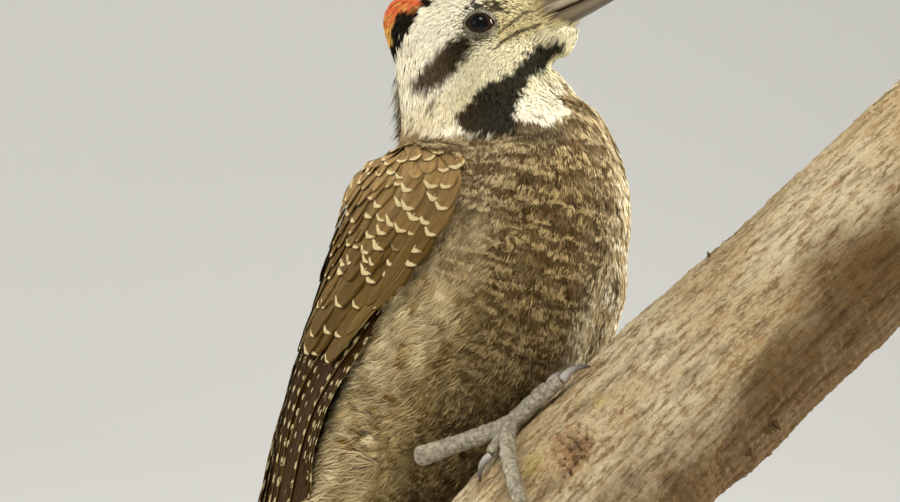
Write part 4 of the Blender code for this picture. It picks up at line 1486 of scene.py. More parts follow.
@shared_effect("vane marks", (("Vane", "Vector"), ("Web", "Vector")), VANE_OUTPUTS)
def vane_marks(bench, vane, web):
    """Paired pale lobes at a covert's tip, spots in a row on a flight feather, or bars on a tail feather."""
    rel, _, strand = vane.split()
    x, from_tip, kind = web.split()
    wide = abs(x)
    jitter = web.scaled(1.5, 1.5).noise()

    def oval(a, a0, ra, b, b0, rb):
        p, q = (a - a0) / ra, (b - b0) / rb
        return (p * p + q * q + (jitter * 1.1 - 0.55)).soft(1.15, 0.75)

    size = strand * 0.6 + 0.62
    rim = jitter * 0.7 + (wide * 0.42 + 0.48 - 0.35)
    thin = wide.soft(2.2, 0.4, 0.20, 0.50) * size
    lobe = abs(from_tip - rim).soft(thin + 0.06, thin - 0.08)
    lobe = lobe * wide.soft(size * 2.3, size * 1.8) * wide.soft(0.0, 0.25, 0.80, 1.0)
    streak = oval(wide, 0.0, 0.16, from_tip, 1.1, 0.8)
    covert = lobe.most(streak * strand.soft(0.82, 0.92)) * strand.soft(0.03, 0.12)
    step = (strand * 4.0 + from_tip) % 4.4 - 2.2
    spots = oval(x, 0.78, 0.50, step, 0.0, 1.05) * web.noise(0.8).soft(0.34, 0.46)
    bars = abs(from_tip % 5.2 - 2.6).soft(1.15, 0.8)
    is_covert, is_flight, is_tail, is_edging = (kind.math("COMPARE", float(k), 0.4) for k in range(4))
    mark = covert * is_covert + spots * is_flight + bars * is_tail
    barbs = ((wide * 1.3 - from_tip) * (TURN / 0.36)).sine() * 0.5 + 0.5
    return mark, abs(rel).soft(0.09, 0.03), barbs, x.soft(0.62, 0.30) * (is_flight + is_edging)


@finish("stiff feathers", 0.66, Specular_IOR_Level=0.04)
def stiff_plumage(bench):
    vane, web, ground = bench.field("vane"), bench.field("web"), bench.field("ground", "Color")
    out = bench.group(vane_marks(), Vane=vane, Web=web)
    rel, _, strand = vane.split()
    brighter, darker = (ground.lay(1.0, tint, "MULTIPLY") for tint in ((1.45, 1.36, 1.15), (0.55, 0.5, 0.42)))
    colour = ground.lay(web.scaled(0.9, 0.35).noise(1, 3).soft(0.30, 0.70), brighter)
    colour = colour.lay(abs(rel).soft(0.75, 0.15) * strand.soft(0.35, 0.95) * 0.5, darker)
    colour = colour.lay(out["Shaft"] * 0.32, (0.06, 0.034, 0.012))
    colour = colour.lay(out["Edge"] * 0.85, (0.33, 0.225, 0.085))
    colour = colour.lay(out["Mark"], bench.field("mark", "Color"))
    bench.bump(out["Barbs"], 0.35, 0.00008)
    return colour.lit(out["Barbs"] * 0.16 + 0.90)


def horn_colour(bench, base, tip, pale):
    """Streaks along the horn and a darker tip; 'horn' gives (share to the tip, turn, how pale). On the bill
    the pale share is a painted highlight; on a claw it is the paler base.
    """
    horn = bench.field("horn")
    along, _, light = horn.split()
    streaks = horn.scaled(2.0, 9.0).noise(2.2, 4)
    colour = streaks.soft(0.35, 0.7).between(base, np.array(base) * (0.5, 0.48, 0.45))
    colour = colour.lay(light * streaks.soft(0.25, 0.6, 0.5, 1.0), pale)
    bench.rough(streaks.soft(0.2, 0.8, 0.28, 0.5))
    bench.bump(streaks, 0.4, 0.0002)
    return colour.lay(along.soft(0.55, 1.0), tip)


@finish("bill horn")
def bill_horn(bench):
    # The third colour is the painted highlight along the bill.
    return horn_colour(bench, (0.105, 0.070, 0.036), (0.050, 0.034, 0.022), (0.31, 0.25, 0.16))


@finish("claw horn")
def claw_horn(bench):
    return horn_colour(bench, (0.22, 0.19, 0.165), (0.045, 0.026, 0.016), (0.44, 0.41, 0.38))


@finish("scaly foot skin")
def scale_finish(bench):
    rough = bench.place().noise(900.0, 4.0)
    crack = bench.place().cells(1500.0, feature="DISTANCE_TO_EDGE").soft(0.0, 0.16)
    colour = rough.soft(0.3, 0.65).between((0.16, 0.14, 0.085), (0.38, 0.345, 0.245))
    colour = colour.lay(bench.field("scale").split()[1].soft(0.16, 0.0, 0.0, 0.7), (0.13, 0.105, 0.06))
    bench.bump(crack * 0.6 + rough, 0.6, 0.00012)
    return colour.lay((1.0 - crack) * 0.55, (0.13, 0.105, 0.07))


@finish("glossy eyeball", 0.04, Specular_IOR_Level=0.14)
def eye_finish(bench):
    iris = bench.place().noise(2200.0, 3.0).between((0.010, 0.005, 0.002), (0.034, 0.014, 0.005))
    return bench.field("ring", "Fac").soft(0.50, 0.58).between((0.002, 0.002, 0.002), iris)


@finish("eyelid skin")
def lid_finish(bench):
    place, ring = bench.place(), bench.field("ring", "Fac")
    colour = place.noise(2400.0, 3.0).soft(0.36, 0.64).between((0.06, 0.050, 0.028), (0.30, 0.27, 0.17))
    fleck = place.noise(900.0).soft(0.54, 0.64)
    colour = colour.lay(fleck * ring.soft(0.25, 0.6, 0.0, 0.8), (0.62, 0.56, 0.34))
    # Darker lines in the troughs of the lid's folds: painted shade in the creases.
    colour = colour.lay((ring * 26.0).sine().soft(0.3, -0.8, 0.0, 0.8), (0.035, 0.027, 0.016))
    bench.bump(place.cells(2600.0), 0.9, 0.00022)
    return colour.lay(ring.soft(0.16, 0.0), (0.02, 0.016, 0.010))


@finish("weathered bark", 0.85, Specular_IOR_Level=0.2)
def bark_finish(bench):
    bark = bench.field("bark")
    pit, under, knot, stain = (bench.field(name, "Fac") for name in ("pit", "under", "knot", "stain"))
    fibre = bark.scaled(0.11, 0.42).noise(1.6, 6, 0.62)
    crumb = bark.scaled(0.8, 1.5).noise(1, 4, 0.6)
    grain = bark.scaled(0.5, 2.4).noise(1, 4, 0.7)
    broad = bark.scaled(0.035, 0.06).noise(1, 3).soft(0.38, 0.62)
    colour = broad.between((0.50, 0.37, 0.19), (0.68, 0.57, 0.36))
    for share, layer in (
        (fibre.soft(0.56, 0.36), (0.26, 0.165, 0.07)),
        (crumb.soft(0.52, 0.62) * 0.65, (0.62, 0.52, 0.33)),
        (crumb.soft(0.44, 0.34) * 0.42, (0.16, 0.095, 0.04)),
        (grain.soft(0.46, 0.34, 0.0, 0.55), (0.19, 0.115, 0.05)),
        (grain.soft(0.56, 0.68, 0.0, 0.5), (0.66, 0.56, 0.36)),
        (knot * grain.soft(0.35, 0.6, 0.85, 0.35), (0.34, 0.17, 0.07)),
        (bark.scaled(0.05, 0.09).noise(3.6, 3).soft(0.56, 0.70, 0.0, 0.45), (0.38, 0.19, 0.07)),
        (stain * fibre.soft(0.3, 0.6, 0.4, 0.9) * 0.75, (0.60, 0.45, 0.14)),
        # Painted shade on the branch's underside.
        (under * 0.88, (0.10, 0.048, 0.009)),
        # Painted shade in the grooves and knot hearts.
        (pit, (0.055, 0.028, 0.012)),
    ):
        colour = colour.lay(share, layer)
    bench.bump(fibre + (crumb * 0.7 + grain * 0.5), 1.0, 0.0011)
    return colour


@finish("cut wood", 0.75)
def cut_wood_finish(bench):
    radius = bench.field("bark").split()[2]
    rings = (bench.place().noise(90.0, 3.0) * 9.0 + radius * 5.2).sine()
    return rings.soft(-0.6, 0.8).between((0.28, 0.19, 0.10), (0.40, 0.29, 0.165))


@finish("oiled walnut", 0.38)
def stand_wood_finish(bench):
    place = bench.place()
    warp = place.scaled(4.0, 18.0, 18.0).noise(1, 3)
    grain = place.scaled(14.0, 150.0, 150.0).noise(1, 5, 0.6)
    waves = (warp * 15.0 + grain * 4.0).sine()
    pores = place.scaled(60.0, 900.0, 900.0).noise().soft(0.62, 0.72)
    bench.rough(grain.soft(0.2, 0.8, 0.32, 0.46))
    bench.bump(pores, -0.25, 0.0002)
    colour = waves.soft(-0.8, 0.9).between((0.100, 0.050, 0.023), (0.145, 0.074, 0.034))
    return colour.lay(pores * 0.7, (0.03, 0.014, 0.007))


@finish("satin steel", 0.33, Metallic=1.0)
def steel_finish(bench):
    brush = bench.place().scaled(300.0, 300.0, 5200.0).noise(1, 3)
    bench.rough(brush.soft(0.2, 0.8, 0.26, 0.42))
    return brush.between((0.42, 0.41, 0.39), (0.56, 0.55, 0.53))


@finish("studio paper", 0.9)
def studio_finish(bench):
    return bench.place().noise(3.0).between((0.60, 0.605, 0.59), (0.64, 0.645, 0.625))


# ---------------------------------------------------------------- eyes and bill


def round_grid(rows, columns):
    """Quads of a tube of rings, closed round its turn."""
    i = np.arange(rows - 1)[:, None] * columns
    k = np.arange(columns)[None]
    m = (k + 1) % columns
    return np.stack([i + k, i + m, i + columns + m, i + columns + k], -1).reshape(-1, 4)


def caps(rows, columns):
    """The two faces that close such a tube."""
    ring = np.arange(columns)[None]
    return ring[:, ::-1], (rows - 1) * columns + ring


def eye_axis(side):
    """The way an eye looks: outwards and a little forward."""
    return unit(LEFT * SIDES[side] * 0.965 + FORWARD * 0.235 + RISE * 0.05)


def disc_frame(axis):
    a = unit(RISE - axis * (RISE @ axis))
    return a, np.cross(axis, a)


def dress_eye(side):
    """The ball, with its pupil and a slightly raised clear front."""
    axis = eye_axis(side)
    a, b = disc_frame(axis)
    low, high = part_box(f"eye_{side}")
    radius = (high - low).x / 2 * 0.985
    rings, sides = 40, 64
    polar = np.linspace(0.02, math.pi * 0.75, rings)
    turn = np.linspace(0, TURN, sides, endpoint=False)
    bulge = 1 + 0.05 * ease(0.75, 0.2, polar)
    p, t = np.meshgrid(polar, turn, indexing="ij")
    flat = np.sin(p)[..., None] * (np.cos(t)[..., None] * a + np.sin(t)[..., None] * b)
    co = EYES[side] + radius * (bulge[:, None, None] * np.cos(p)[..., None] * axis + flat)
    grid = round_grid(rings, sides)
    ob = new_mesh(f"eyeball_{side}", co.reshape(-1, 3), quads=grid, fans=caps(rings, sides))
    give(ob, "ring", np.sin(p).reshape(-1))
    settle(ob, "eye", eye_finish(), f"eye_{side}")


def dress_lids(side):
    """A ring of bare wrinkled skin: a dark lip on the ball, fine folds, its outer edge under the feathers."""
    axis = eye_axis(side)
    a, b = disc_frame(axis)
    share = np.array([0, 0.03, 0.07, 0.13, 0.20, 0.28, 0.36, 0.45, 0.54, 0.63, 0.72, 0.82, 0.91, 1.0])
    turn = np.linspace(0, TURN, 96, endpoint=False)
    dice = chance(31 if side == "left" else 32)
    q, t = np.meshgrid(share, turn, indexing="ij")
    tall = mix(2.22, 4.15, q)
    long = mix(2.80, 4.35, q) + 0.45 * np.abs(np.sin(t)) ** 14 * (1 - q)
    x, z = long * np.sin(t), tall * np.cos(t)
    tilt = 0.35 * SIDES[side]
    x, z = x * math.cos(tilt) + z * math.sin(tilt), z * math.cos(tilt) - x * math.sin(tilt)
    r = np.hypot(x, z)
    ball = np.sqrt(np.maximum((3.58 + 0.36 * ease(0, 0.12, q)) ** 2 - r**2, 0.8))
    fold = 0.10 * np.sin(q * 26 + 0.8 * np.sin(3 * t)) * ease(0.12, 0.25, q)
    h = mix(ball, mix(2.5, 1.35, q), ease(0.12, 0.7, q)) + fold + dice.normal(0, 0.02, r.shape) * (q > 0.1)
    h = h + 0.05 * np.sin(23 * t + 9 * q) * (q > 0.12)
    co = EYES[side] + MM * (h[..., None] * axis + z[..., None] * a + x[..., None] * b)
    ob = new_mesh(f"eyelids_{side}", co.reshape(-1, 3), quads=round_grid(len(share), 96)[:, ::-1])
    give(ob, "ring", q.ravel())
    point_out(ob, axis)
    settle(ob, "scaly_skin", lid_finish())


def point_out(ob, way):
    """Turns every face round if most of them look away from the given way."""
    normals = np.empty(len(ob.data.polygons) * 3, np.float32)
    ob.data.polygons.foreach_get("normal", normals)
    if (normals.reshape(-1, 3) @ np.asarray(way)).sum() < 0:
        ob.data.flip_normals()


def cut_points(co, tri, height, level):
    """Points where a solid's edges cross a level of some height measured on its corners."""
    out = []
    for k in range(3):
        i, j = tri[:, k], tri[:, (k + 1) % 3]
        a, b = height[i], height[j]
        ok = (a - level) * (b - level) < 0
        t = ((level - a[ok]) / (b[ok] - a[ok]))[:, None]
        out.append(mix(co[i[ok]], co[j[ok]], t))
    return np.concatenate(out)


UPPER_SIDE = (
    (0.90, 0.0), (1.0, 0.06), (1.0, 0.20), (0.97, 0.33), (0.90, 0.44), (0.76, 0.56), (0.60, 0.69),
    (0.42, 0.83), (0.22, 0.95), (0.0, 1.0)
)
LOWER_SIDE = (
    (0.88, 1.0), (0.97, 0.94), (0.96, 0.80), (0.88, 0.60), (0.74, 0.40), (0.55, 0.22), (0.30, 0.07),
    (0.0, 0.0)
)


def dress_bill(node, side_shape):
    """One half of the bill, lofted through the solid's own widths and depths, with its ridge and flutes."""
    co, tri = solid_mesh(node)
    f, _, _ = head_place(co)
    levels = np.linspace(f.min() + 0.15, f.max() - 0.15, 46)
    sizes = []
    for level in levels:
        _, pu, pa = head_place(cut_points(co, tri, f, level))
        sizes.append((pu.min(), pu.max(), np.abs(pa).max()))
    sizes = np.array(sizes)
    even_out(sizes, 3)
    shape = np.array(side_shape)
    fine = np.linspace(0, len(shape) - 1, 19)
    wide, tall = resampled(fine, np.arange(len(shape)), shape).T
    wide = np.concatenate([wide, -wide[-2::-1]])
    tall = np.concatenate([tall, tall[-2::-1]])
    step = np.linspace(0, 1, len(levels))[:, None]
    flute = 0.10 * np.sin(np.abs(wide) * 7 + 1.0)[None] * (1 - step)
    aside = sizes[:, 2:3] * wide[None] * (1 - 0.03 * flute)
    rise = sizes[:, :1] + (sizes[:, 1:2] - sizes[:, :1]) * tall[None] + 0.02 * np.sin(step * 60 + wide * 3)
    forward = np.broadcast_to(levels[:, None], rise.shape)
    tip = ease(0.9, 1.0, step)
    rise = mix(rise, rise.mean(1, keepdims=True), 0.25 * tip)
    place = HEAD + MM * (forward[..., None] * FORWARD + rise[..., None] * RISE + aside[..., None] * LEFT)
    size = len(levels), len(wide)
    ob = new_mesh(f"{node}_horn", place.reshape(-1, 3), quads=round_grid(*size), fans=caps(*size))
    # A pale band along each half of the bill: a painted highlight.
    pale = ease(0.30, 0.10, np.abs(tall - 0.30))[None] * ease(0.0, 0.25, step) * ease(1.0, 0.55, step)
    if node == "bill_lower":
        pale = 0.55 * ease(0.35, 0.1, np.abs(tall - 0.55))[None] * ease(0.0, 0.2, step) * ease(0.9, 0.5, step)
    horn = np.broadcast_arrays(step, np.arctan2(tall - 0.4, wide)[None], pale)
    give(ob, "horn", np.stack(horn, -1).reshape(-1, 3))
    make_outward(ob)
    settle(ob, "bill_horn", bill_horn(), node)


def make_outward(ob):
    """Faces of a closed shell turned to look out of it."""
    co, tri = arrays_of(ob.data)
    a, b, c = co[tri[:, 0]], co[tri[:, 1]], co[tri[:, 2]]
    if dot(a - co.mean(0), np.cross(b - a, c - a)).sum() < 0:
        ob.data.flip_normals()


# ---------------------------------------------------------------- small things spread by geometry nodes


def spread_tree(name, shape, sizes, material):
    """A node tree that sets one small shape all over a patch, each along the patch's stored lie."""
    tree = bpy.data.node_groups.new(name, "GeometryNodeTree")
    bench = Bench(tree)
    number = "NodeSocketFloat"
    for key, kind in (
        ("Patch", "NodeSocketGeometry"), ("Per square metre", number), ("Length", number),
        ("Width", number), ("Thickness", number)
    ):
        tree.interface.new_socket(key, in_out="INPUT", socket_type=kind)
    tree.interface.new_socket("Spread pieces", in_out="OUTPUT", socket_type="NodeSocketGeometry")
    given = bench.put("NodeGroupInput").outputs
    points = bench.put(
        "GeometryNodeDistributePointsOnFaces",
        {"Mesh": given["Patch"], "Density": given["Per square metre"], "Seed": 7}
    )
    lie_of = bench.put(
        "GeometryNodeInputNamedAttribute", {"Name": "lie"}, data_type="FLOAT_VECTOR"
    ).outputs["Attribute"]
    turn = bench.put("FunctionNodeAlignRotationToVector", {"Vector": lie_of}, axis="Z").outputs[0]
    vary = bench.put("FunctionNodeRandomValue", data_type="FLOAT")
    vary.inputs[2].default_value, vary.inputs[3].default_value = 0.65, 1.25
    vary.inputs["Seed"].default_value = 11
    whole = bench.put(
        "ShaderNodeCombineXYZ", {"X": given["Width"], "Y": given["Thickness"], "Z": given["Length"]}
    )
    size = bench.put("ShaderNodeVectorMath", operation="SCALE")
    bench.plug(size.inputs[0], whole.outputs[0])
    bench.plug(size.inputs["Scale"], vary.outputs[1])
    piece = bench.put(shape, sizes).outputs["Mesh"]
    values = {
        "Points": points.outputs["Points"], "Instance": piece, "Rotation": turn, "Scale": size.outputs[0]
    }
    made = bench.put("GeometryNodeInstanceOnPoints", values).outputs[0]
    real = bench.put("GeometryNodeRealizeInstances", {"Geometry": made}).outputs[0]
    dressed = bench.put("GeometryNodeSetMaterial", {"Geometry": real, "Material": material}).outputs[0]
    bench.plug(bench.put("NodeGroupOutput").inputs[0], dressed)
    return tree


def spread_over(patch, tree, **sizes):
    """Runs a spreading tree on a patch and leaves the patch as the plain mesh that it made."""
    modifier = patch.modifiers.new(tree.name, "NODES")
    modifier.node_group = tree
    sockets = {s.name: s.identifier for s in tree.interface.items_tree if s.in_out == "INPUT"}
    for key, value in sizes.items():
        modifier[sockets[key.replace("_", " ")]] = value
    seen = patch.evaluated_get(bpy.context.evaluated_depsgraph_get())
    made = bpy.data.meshes.new_from_object(seen)
    patch.modifiers.remove(modifier)
    old = patch.data
    patch.data = made
    bpy.data.meshes.remove(old)
    return patch


def dress_bristles(palette):
    """Bristles that sweep forward from the face over the root of the bill and the nostrils."""
    forward, rise, _ = head_place(BODY.centre)
    wanted = (BODY.to_bill < 2.3 * MM) & (rise > -8.8) & (forward > 9)
    used, back = np.unique(BODY.tri[wanted], return_inverse=True)
    co, way = BODY.co[used], BODY.way[used]
    patch = new_mesh("bristles_bill", co - way * 0.3 * MM, tris=back.reshape(-1, 3))
    _, u, _ = head_place(co)
    sweep = unit(FORWARD + way * 0.42 + RISE * 0.10 * np.sign(u + 4)[:, None])
    give(patch, "lie", sweep)
    cone = {"Vertices": 5, "Side Segments": 4, "Radius Top": 0.0, "Radius Bottom": 0.5, "Depth": 1.0}
    tree = spread_tree("bristles", "GeometryNodeMeshCone", cone, soft_plumage())
    ob = spread_over(
        patch, tree, Per_square_metre=2.4e6, Length=3.4 * MM, Width=0.26 * MM, Thickness=0.16 * MM
    )
    co, _ = arrays_of(ob.data)
    per = 5 * 4 + 1
    count = len(co) // per
    root = np.repeat(co.reshape(count, per, 3)[:, :5].mean(1), per, axis=0)
    along = np.linalg.norm(co - root, axis=1) / (3.4 * MM)
    look = plumage(root, palette)
    give(ob, "ground", with_share(look.ground, 0.0))
    give(ob, "mark", with_share(look.mark, 0.0))
    strand = np.repeat(chance(5).random(count), per)
    give(ob, "vane", np.stack([0 * strand, along, strand], -1))
    give(ob, "place", chart_mm(root))
    uv = fit_unit(chart_mm(root)[:, :2])
    uv[:, 1] += PATCH * (along - 0.5)
    give_map(ob, uv)
    settle(ob, "feathers_white", None)


# ---------------------------------------------------------------- feet and claws


def walk_from(co, quads, start):
    """Distance along the surface from one corner to every other."""
    edges = np.concatenate(
        [quads[:, [k, (k + 1) % 4]] for k in range(4)] + [quads[:, [0, 2]], quads[:, [1, 3]]]
    )
    long = np.linalg.norm(co[edges[:, 0]] - co[edges[:, 1]], axis=1)
    a = np.concatenate([edges[:, 0], edges[:, 1]])
    b = np.concatenate([edges[:, 1], edges[:, 0]])
    long = np.concatenate([long, long])
    out = np.full(len(co), 1.0)
    out[start] = 0
    for _ in range(600):
        fresh = out.copy()
        np.minimum.at(fresh, b, out[a] + long)
        if np.abs(fresh - out).max() < 1e-7:
            break
        out = fresh
    return out


def dress_foot(side):
    """Tarsus and toes with overlapping plates along their tops and small scales elsewhere."""
    grain = 0.27 * MM
    co, tri = solid_mesh(f"foot_{side}")
    co, quads = remeshed("foot", co, tri, grain)
    co = relaxed(co, quads, 6)
    way = corner_normals(co, halves(quads))
    on_perch, out, _ = nearest(tree_of(*solid_mesh("perch")), co)
    gap = np.linalg.norm(co - on_perch, axis=1)
    top = int(gap.argmax())
    walk = walk_from(co, quads, top) / MM
    end, below = co[(walk > 5) & (walk < 8)].mean(0), co[(walk > 9) & (walk < 12)].mean(0)
    axis = unit(end - below)
    reach = (co - end) @ axis
    level = (reach[walk < 8].max() - reach) / MM
    round_off = np.sqrt(np.clip(1 - (1 - level / 2.4).clip(0, 1) ** 2, 0.02, 1))
    shrink = np.where(walk < 8, round_off, 1.0)
    spoke = co - end - reach[:, None] * axis
    co = relaxed(co - spoke * (1 - shrink)[:, None], quads, 2)
    way = corner_normals(co, halves(quads))
    facing = dot(way, out)
    tarsus = ease(13, 8, walk)
    facing = mix(facing, 0.3, tarsus)
    phase = walk / 1.15 + 0.05 * ripple(co, 3, 5, 1)
    part = phase - np.floor(phase)
    plates = ease(0.0, 0.45, facing)
    height = plates * (0.11 * (1 - part) ** 0.7 - 0.06) + (1 - plates) * 0.05 * ripple(co, 0.9, 8, 1)
    height = height + 0.22 + 0.09 * ripple(co, 1.8, 9) + 0.04 * ripple(co, 0.7, 10, 1)
    co = co + way * height[:, None] * MM
    ob = new_mesh(f"foot_{side}_scales", co, quads=quads)
    seam = np.minimum(part, 1 - part) * plates + (1 - plates) * 0.5
    give(ob, "scale", np.stack([walk, seam, plates], -1))
    settle(ob, "scaly_skin", scale_finish(), f"foot_{side}")


TOE_NAMES = ("inner_front", "outer_front", "outer_side", "inner_hind")


def dress_claws(side):
    """Curved horn claws, smoothed from the solids, with a darker point."""
    for toe in TOE_NAMES:
        node = f"claw_{side}_{toe}"
        co, tri = solid_mesh(node)
        fine, quads = remeshed("claw", co, tri, 0.2 * MM)
        fine = relaxed(fine, quads, 4)
        fine = fine + corner_normals(fine, halves(quads)) * 0.04 * MM
        foot, _ = solid_mesh(f"foot_{side}")
        base = co[np.linalg.norm(co[:, None] - foot[None], axis=-1).min(1).argmin()]
        far = np.linalg.norm(fine - base, axis=1)
        ob = new_mesh(f"{node}_horn", fine, quads=quads)
        share = far / far.max()
        give(ob, "horn", np.stack([0.25 + 0.75 * share, ripple(fine, 2, 3, 1), ease(0.7, 0.0, share)], -1))
        settle(ob, "claw_horn", claw_horn(), node)


# ---------------------------------------------------------------- branch


# The branch's usual radius, in millimetres; turns round it times this give distances on the bark.
ROUND = 20


class Branch:
    """The branch's own line and girth, read from its solid."""

    ROWS, COLUMNS = 90, 48

    def __init__(self):
        co, tri = solid_mesh("perch")
        self.tree = tree_of(co, tri)
        centre = co.mean(0)
        _, _, axes = np.linalg.svd(co - centre, full_matrices=False)
        along = axes[0] * np.sign(axes[0][2])
        reach = (co - centre) @ along
        levels = np.linspace(reach.min() + 9 * MM, reach.max() - 9 * MM, 30)
        line = []
        for level in levels:
            cut = cut_points(co, tri, reach, level)
            line.append((cut.min(0) + cut.max(0)) / 2)
        line = np.array(line)
        even_out(line, 3)
        first, last = unit(line[1] - line[0]), unit(line[-1] - line[-2])
        start = Vector(line[0])
        low = self.tree.ray_cast(start, Vector(-first), 0.05)[3] or 9 * MM
        high = self.tree.ray_cast(Vector(line[-1]), Vector(last), 0.05)[3] or 9 * MM
        line = np.concatenate([[line[0] - first * low], line, [line[-1] + last * high]])
        step = run_along(line)
        self.length = step[-1]
        self.along = np.linspace(0, self.length, self.ROWS)
        self.line = resampled(self.along, step, line)
        even_out(self.line, 4)
        self.axis = unit(np.gradient(self.line, axis=0))
        self.upper = unit(UP - self.axis * self.axis[:, 2:])
        self.aside = np.cross(self.upper, self.axis)
        turns = np.linspace(0, TURN, self.COLUMNS, endpoint=False)
        self.girth = np.full((self.ROWS, self.COLUMNS), 20 * MM)
        for i in range(self.ROWS):
            k = min(max(i, 1), self.ROWS - 2)
            for j, t in enumerate(turns):
                way = self.upper[k] * math.cos(t) + self.aside[k] * math.sin(t)
                hit = self.tree.ray_cast(Vector(self.line[k]), Vector(way), 0.06)
                if hit[0] is not None:
                    self.girth[i, j] = hit[3]
        near = np.stack([np.roll(self.girth, k, 0) for k in range(-9, 10)])
        calm = np.median(near, axis=0)
        calm[:9], calm[-9:] = self.girth[:9], self.girth[-9:]
        self.girth = np.clip(self.girth, calm - 1.2 * MM, calm + 0.7 * MM)
        for _ in range(2):
            self.girth = mix(self.girth, (np.roll(self.girth, 1, 1) + np.roll(self.girth, -1, 1)) / 2, 0.5)
            even_out(self.girth)

    def spot(self, along, turn):
        """Centre, outward way and girth at a distance along and a turn from the top."""
        i = np.clip(along / self.length, 0, 1) * (self.ROWS - 1)
        i0 = np.minimum(i.astype(int), self.ROWS - 2)
        a = (i - i0)[..., None]
        tables = (self.line, self.upper, self.aside)
        centre, upper, aside = (weighed(table[i0], table[i0 + 1], a) for table in tables)
        upper, aside = unit(upper), unit(aside)
        j = (turn / TURN % 1) * self.COLUMNS
        j0 = j.astype(int) % self.COLUMNS
        j1 = (j0 + 1) % self.COLUMNS
        b = j - np.floor(j)
        low, high = (weighed(self.girth[row, j0], self.girth[row, j1], b) for row in (i0, i0 + 1))
        girth = weighed(low, high, a[..., 0])
        way = upper * np.cos(turn)[..., None] + aside * np.sin(turn)[..., None]
        return centre, way, girth

    def find(self, place):
        """Distance along and turn from the top of a place near the branch."""
        place = np.asarray(place)
        i = np.linalg.norm(self.line - place, axis=1).argmin()
        off = place - self.line[i]
        return self.along[i] + off @ self.axis[i], math.atan2(off @ self.aside[i], off @ self.upper[i])

    def from_spot(self, along, turn, place):
        """How far grid places lie from a spot on the bark, along the branch and around it, in millimetres."""
        a0, t0 = self.find(np.array(place) * MM)
        return (along - a0) / MM, (np.mod(turn - t0 + math.pi, TURN) - math.pi) * ROUND


KNOTS = (
    (5.5, -28, 147.5, 6.0, 1.0), (62, -27, 183, 3.2, 0.35), (-40, -27, 92, 4.0, 0.5),
    (40, 12, 150, 4.5, 0.6)
)
STAINS = ((-7, -28, 147, 3.6), (9, -28, 160, 2.0))


def dress_branch():
    """Bark over the branch: lumps, long ridges, fine cracks, and knots with sunken hearts; painted shade on
    its underside and in its grooves.
    """
    branch = Branch()
    rows, columns = ((430, 190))
    along = np.linspace(0, branch.length, rows)[:, None] * np.ones((1, columns))
    turn = np.linspace(0, TURN, columns, endpoint=False)[None] * np.ones((rows, 1))
    centre, way, girth = branch.spot(along, turn)
    round_mm = turn * ROUND
    u = np.stack([along / MM * 0.35, np.cos(turn) * ROUND, np.sin(turn) * ROUND], -1) * MM
    lumps = ripple(u, 16, 41, 2)
    ridge = ripple(u * np.array([0.30, 1, 1]), 2.6, 42, 2)
    fibre = ripple(u * np.array([0.35, 1, 1]), 1.1, 43, 2)
    crumb = ripple(np.stack([along, np.cos(turn) * 0.02, np.sin(turn) * 0.02], -1), 1.4, 44, 2)
    lift = 0.42 * lumps + 0.26 * ridge - 0.24 * np.abs(fibre) + 0.12 * crumb
    # Painted shade in the deep grooves of the bark.
    pit = ease(-0.75, -1.25, ridge + 0.6 * fibre) * 0.35
    knot = np.zeros_like(pit)
    for x, y, z, size, deep in KNOTS:
        da, dt = branch.from_spot(along, turn, (x, y, z))
        far = np.hypot(da * 0.8, dt) + 0.7 * crumb * (size / 5) + 0.5 * ridge * (size / 5)
        rim = np.exp(-(((far - 0.78 * size) / (0.33 * size)) ** 2))
        heart = ease(0.62 * size, 0.15 * size, far)
        waves = 0.40 * np.sin(far * 3.2) * ease(1.9 * size, 0.6 * size, far)
        lift = lift + deep * (1.35 * rim - 1.1 * heart + waves)
        knot = np.maximum(knot, deep * ease(1.05 * size, 0.5 * size, far))
        # Painted shade in the sunken knot hearts.
        pit = np.maximum(pit, deep * heart * ease(-0.1, 0.7, crumb + 0.4 * ridge))
    stain = np.zeros_like(pit)
    for x, y, z, size in STAINS:
        far = np.hypot(*branch.from_spot(along, turn, (x, y, z))) + 0.8 * ridge
        stain = np.maximum(stain, ease(size, 0.3 * size, far))
    end = ease(0, 2.2 * MM, along) * ease(0, 2.2 * MM, branch.length - along)
    lift = lift * (0.4 + 0.6 * end) - 0.5 * (1 - end)
    feet = [np.array(solid_mesh(n)[0]) for n in SOLIDS if n.startswith(("foot_", "claw_"))]
    place = centre + way * (girth + lift * MM)[..., None]
    hold = np.ones(place.shape[:2])
    tree = grown_tree(np.concatenate(feet))
    for i, j in np.argwhere((place[..., 2] > 0.11) & (np.abs(place[..., 0]) < 0.06)).tolist():
        gap = tree.find(place[i, j].tolist())[2] / MM
        hold[i, j] = min(1.0, max(0.0, (gap - 1.0) / 3.5))
    place = centre + way * (girth + np.where(lift > 0, lift * hold, lift) * MM)[..., None]
    # Painted shade: darker on the branch's underside, reaching higher up towards its far end.
    under = ease(0.12, -0.40, way[..., 2] + 0.12 * lumps - 0.26 * ease(0.62, 0.9, along / branch.length))
    ob = new_mesh("bark", place.reshape(-1, 3), quads=round_grid(rows, columns), fans=caps(rows, columns))
    make_outward(ob)
    bark = np.stack([along / MM, round_mm, lift], -1)
    give(ob, "bark", bark.reshape(-1, 3))
    give(ob, "pit", pit.ravel())
    give(ob, "under", under.ravel())
    give(ob, "stain", stain.ravel())
    give(ob, "knot", knot.ravel())
    settle(ob, "bark", bark_finish(), "perch")
    dress_cut_ends(branch)
    dress_snags(branch)


# Broken snags: a place near each root, where it points, its length and half width, in millimetres.
SNAGS = (
    ((52.5, -22, 151), (0.5, -0.35, -0.80), 2.6, 0.9), ((50.4, -22, 149), (0.9, -0.35, -0.50), 2.2, 0.6),
    ((51.2, -22, 150), (0.9, -0.30, 0.15), 2.4, 0.7), ((47.0, -22, 145), (0.15, -0.35, -0.95), 3.4, 0.6),
    ((46.0, -22, 144), (0.85, -0.30, -0.45), 2.2, 0.5), ((36.0, -10, 190), (-0.5, 0.1, 0.8), 1.8, 0.5),
)


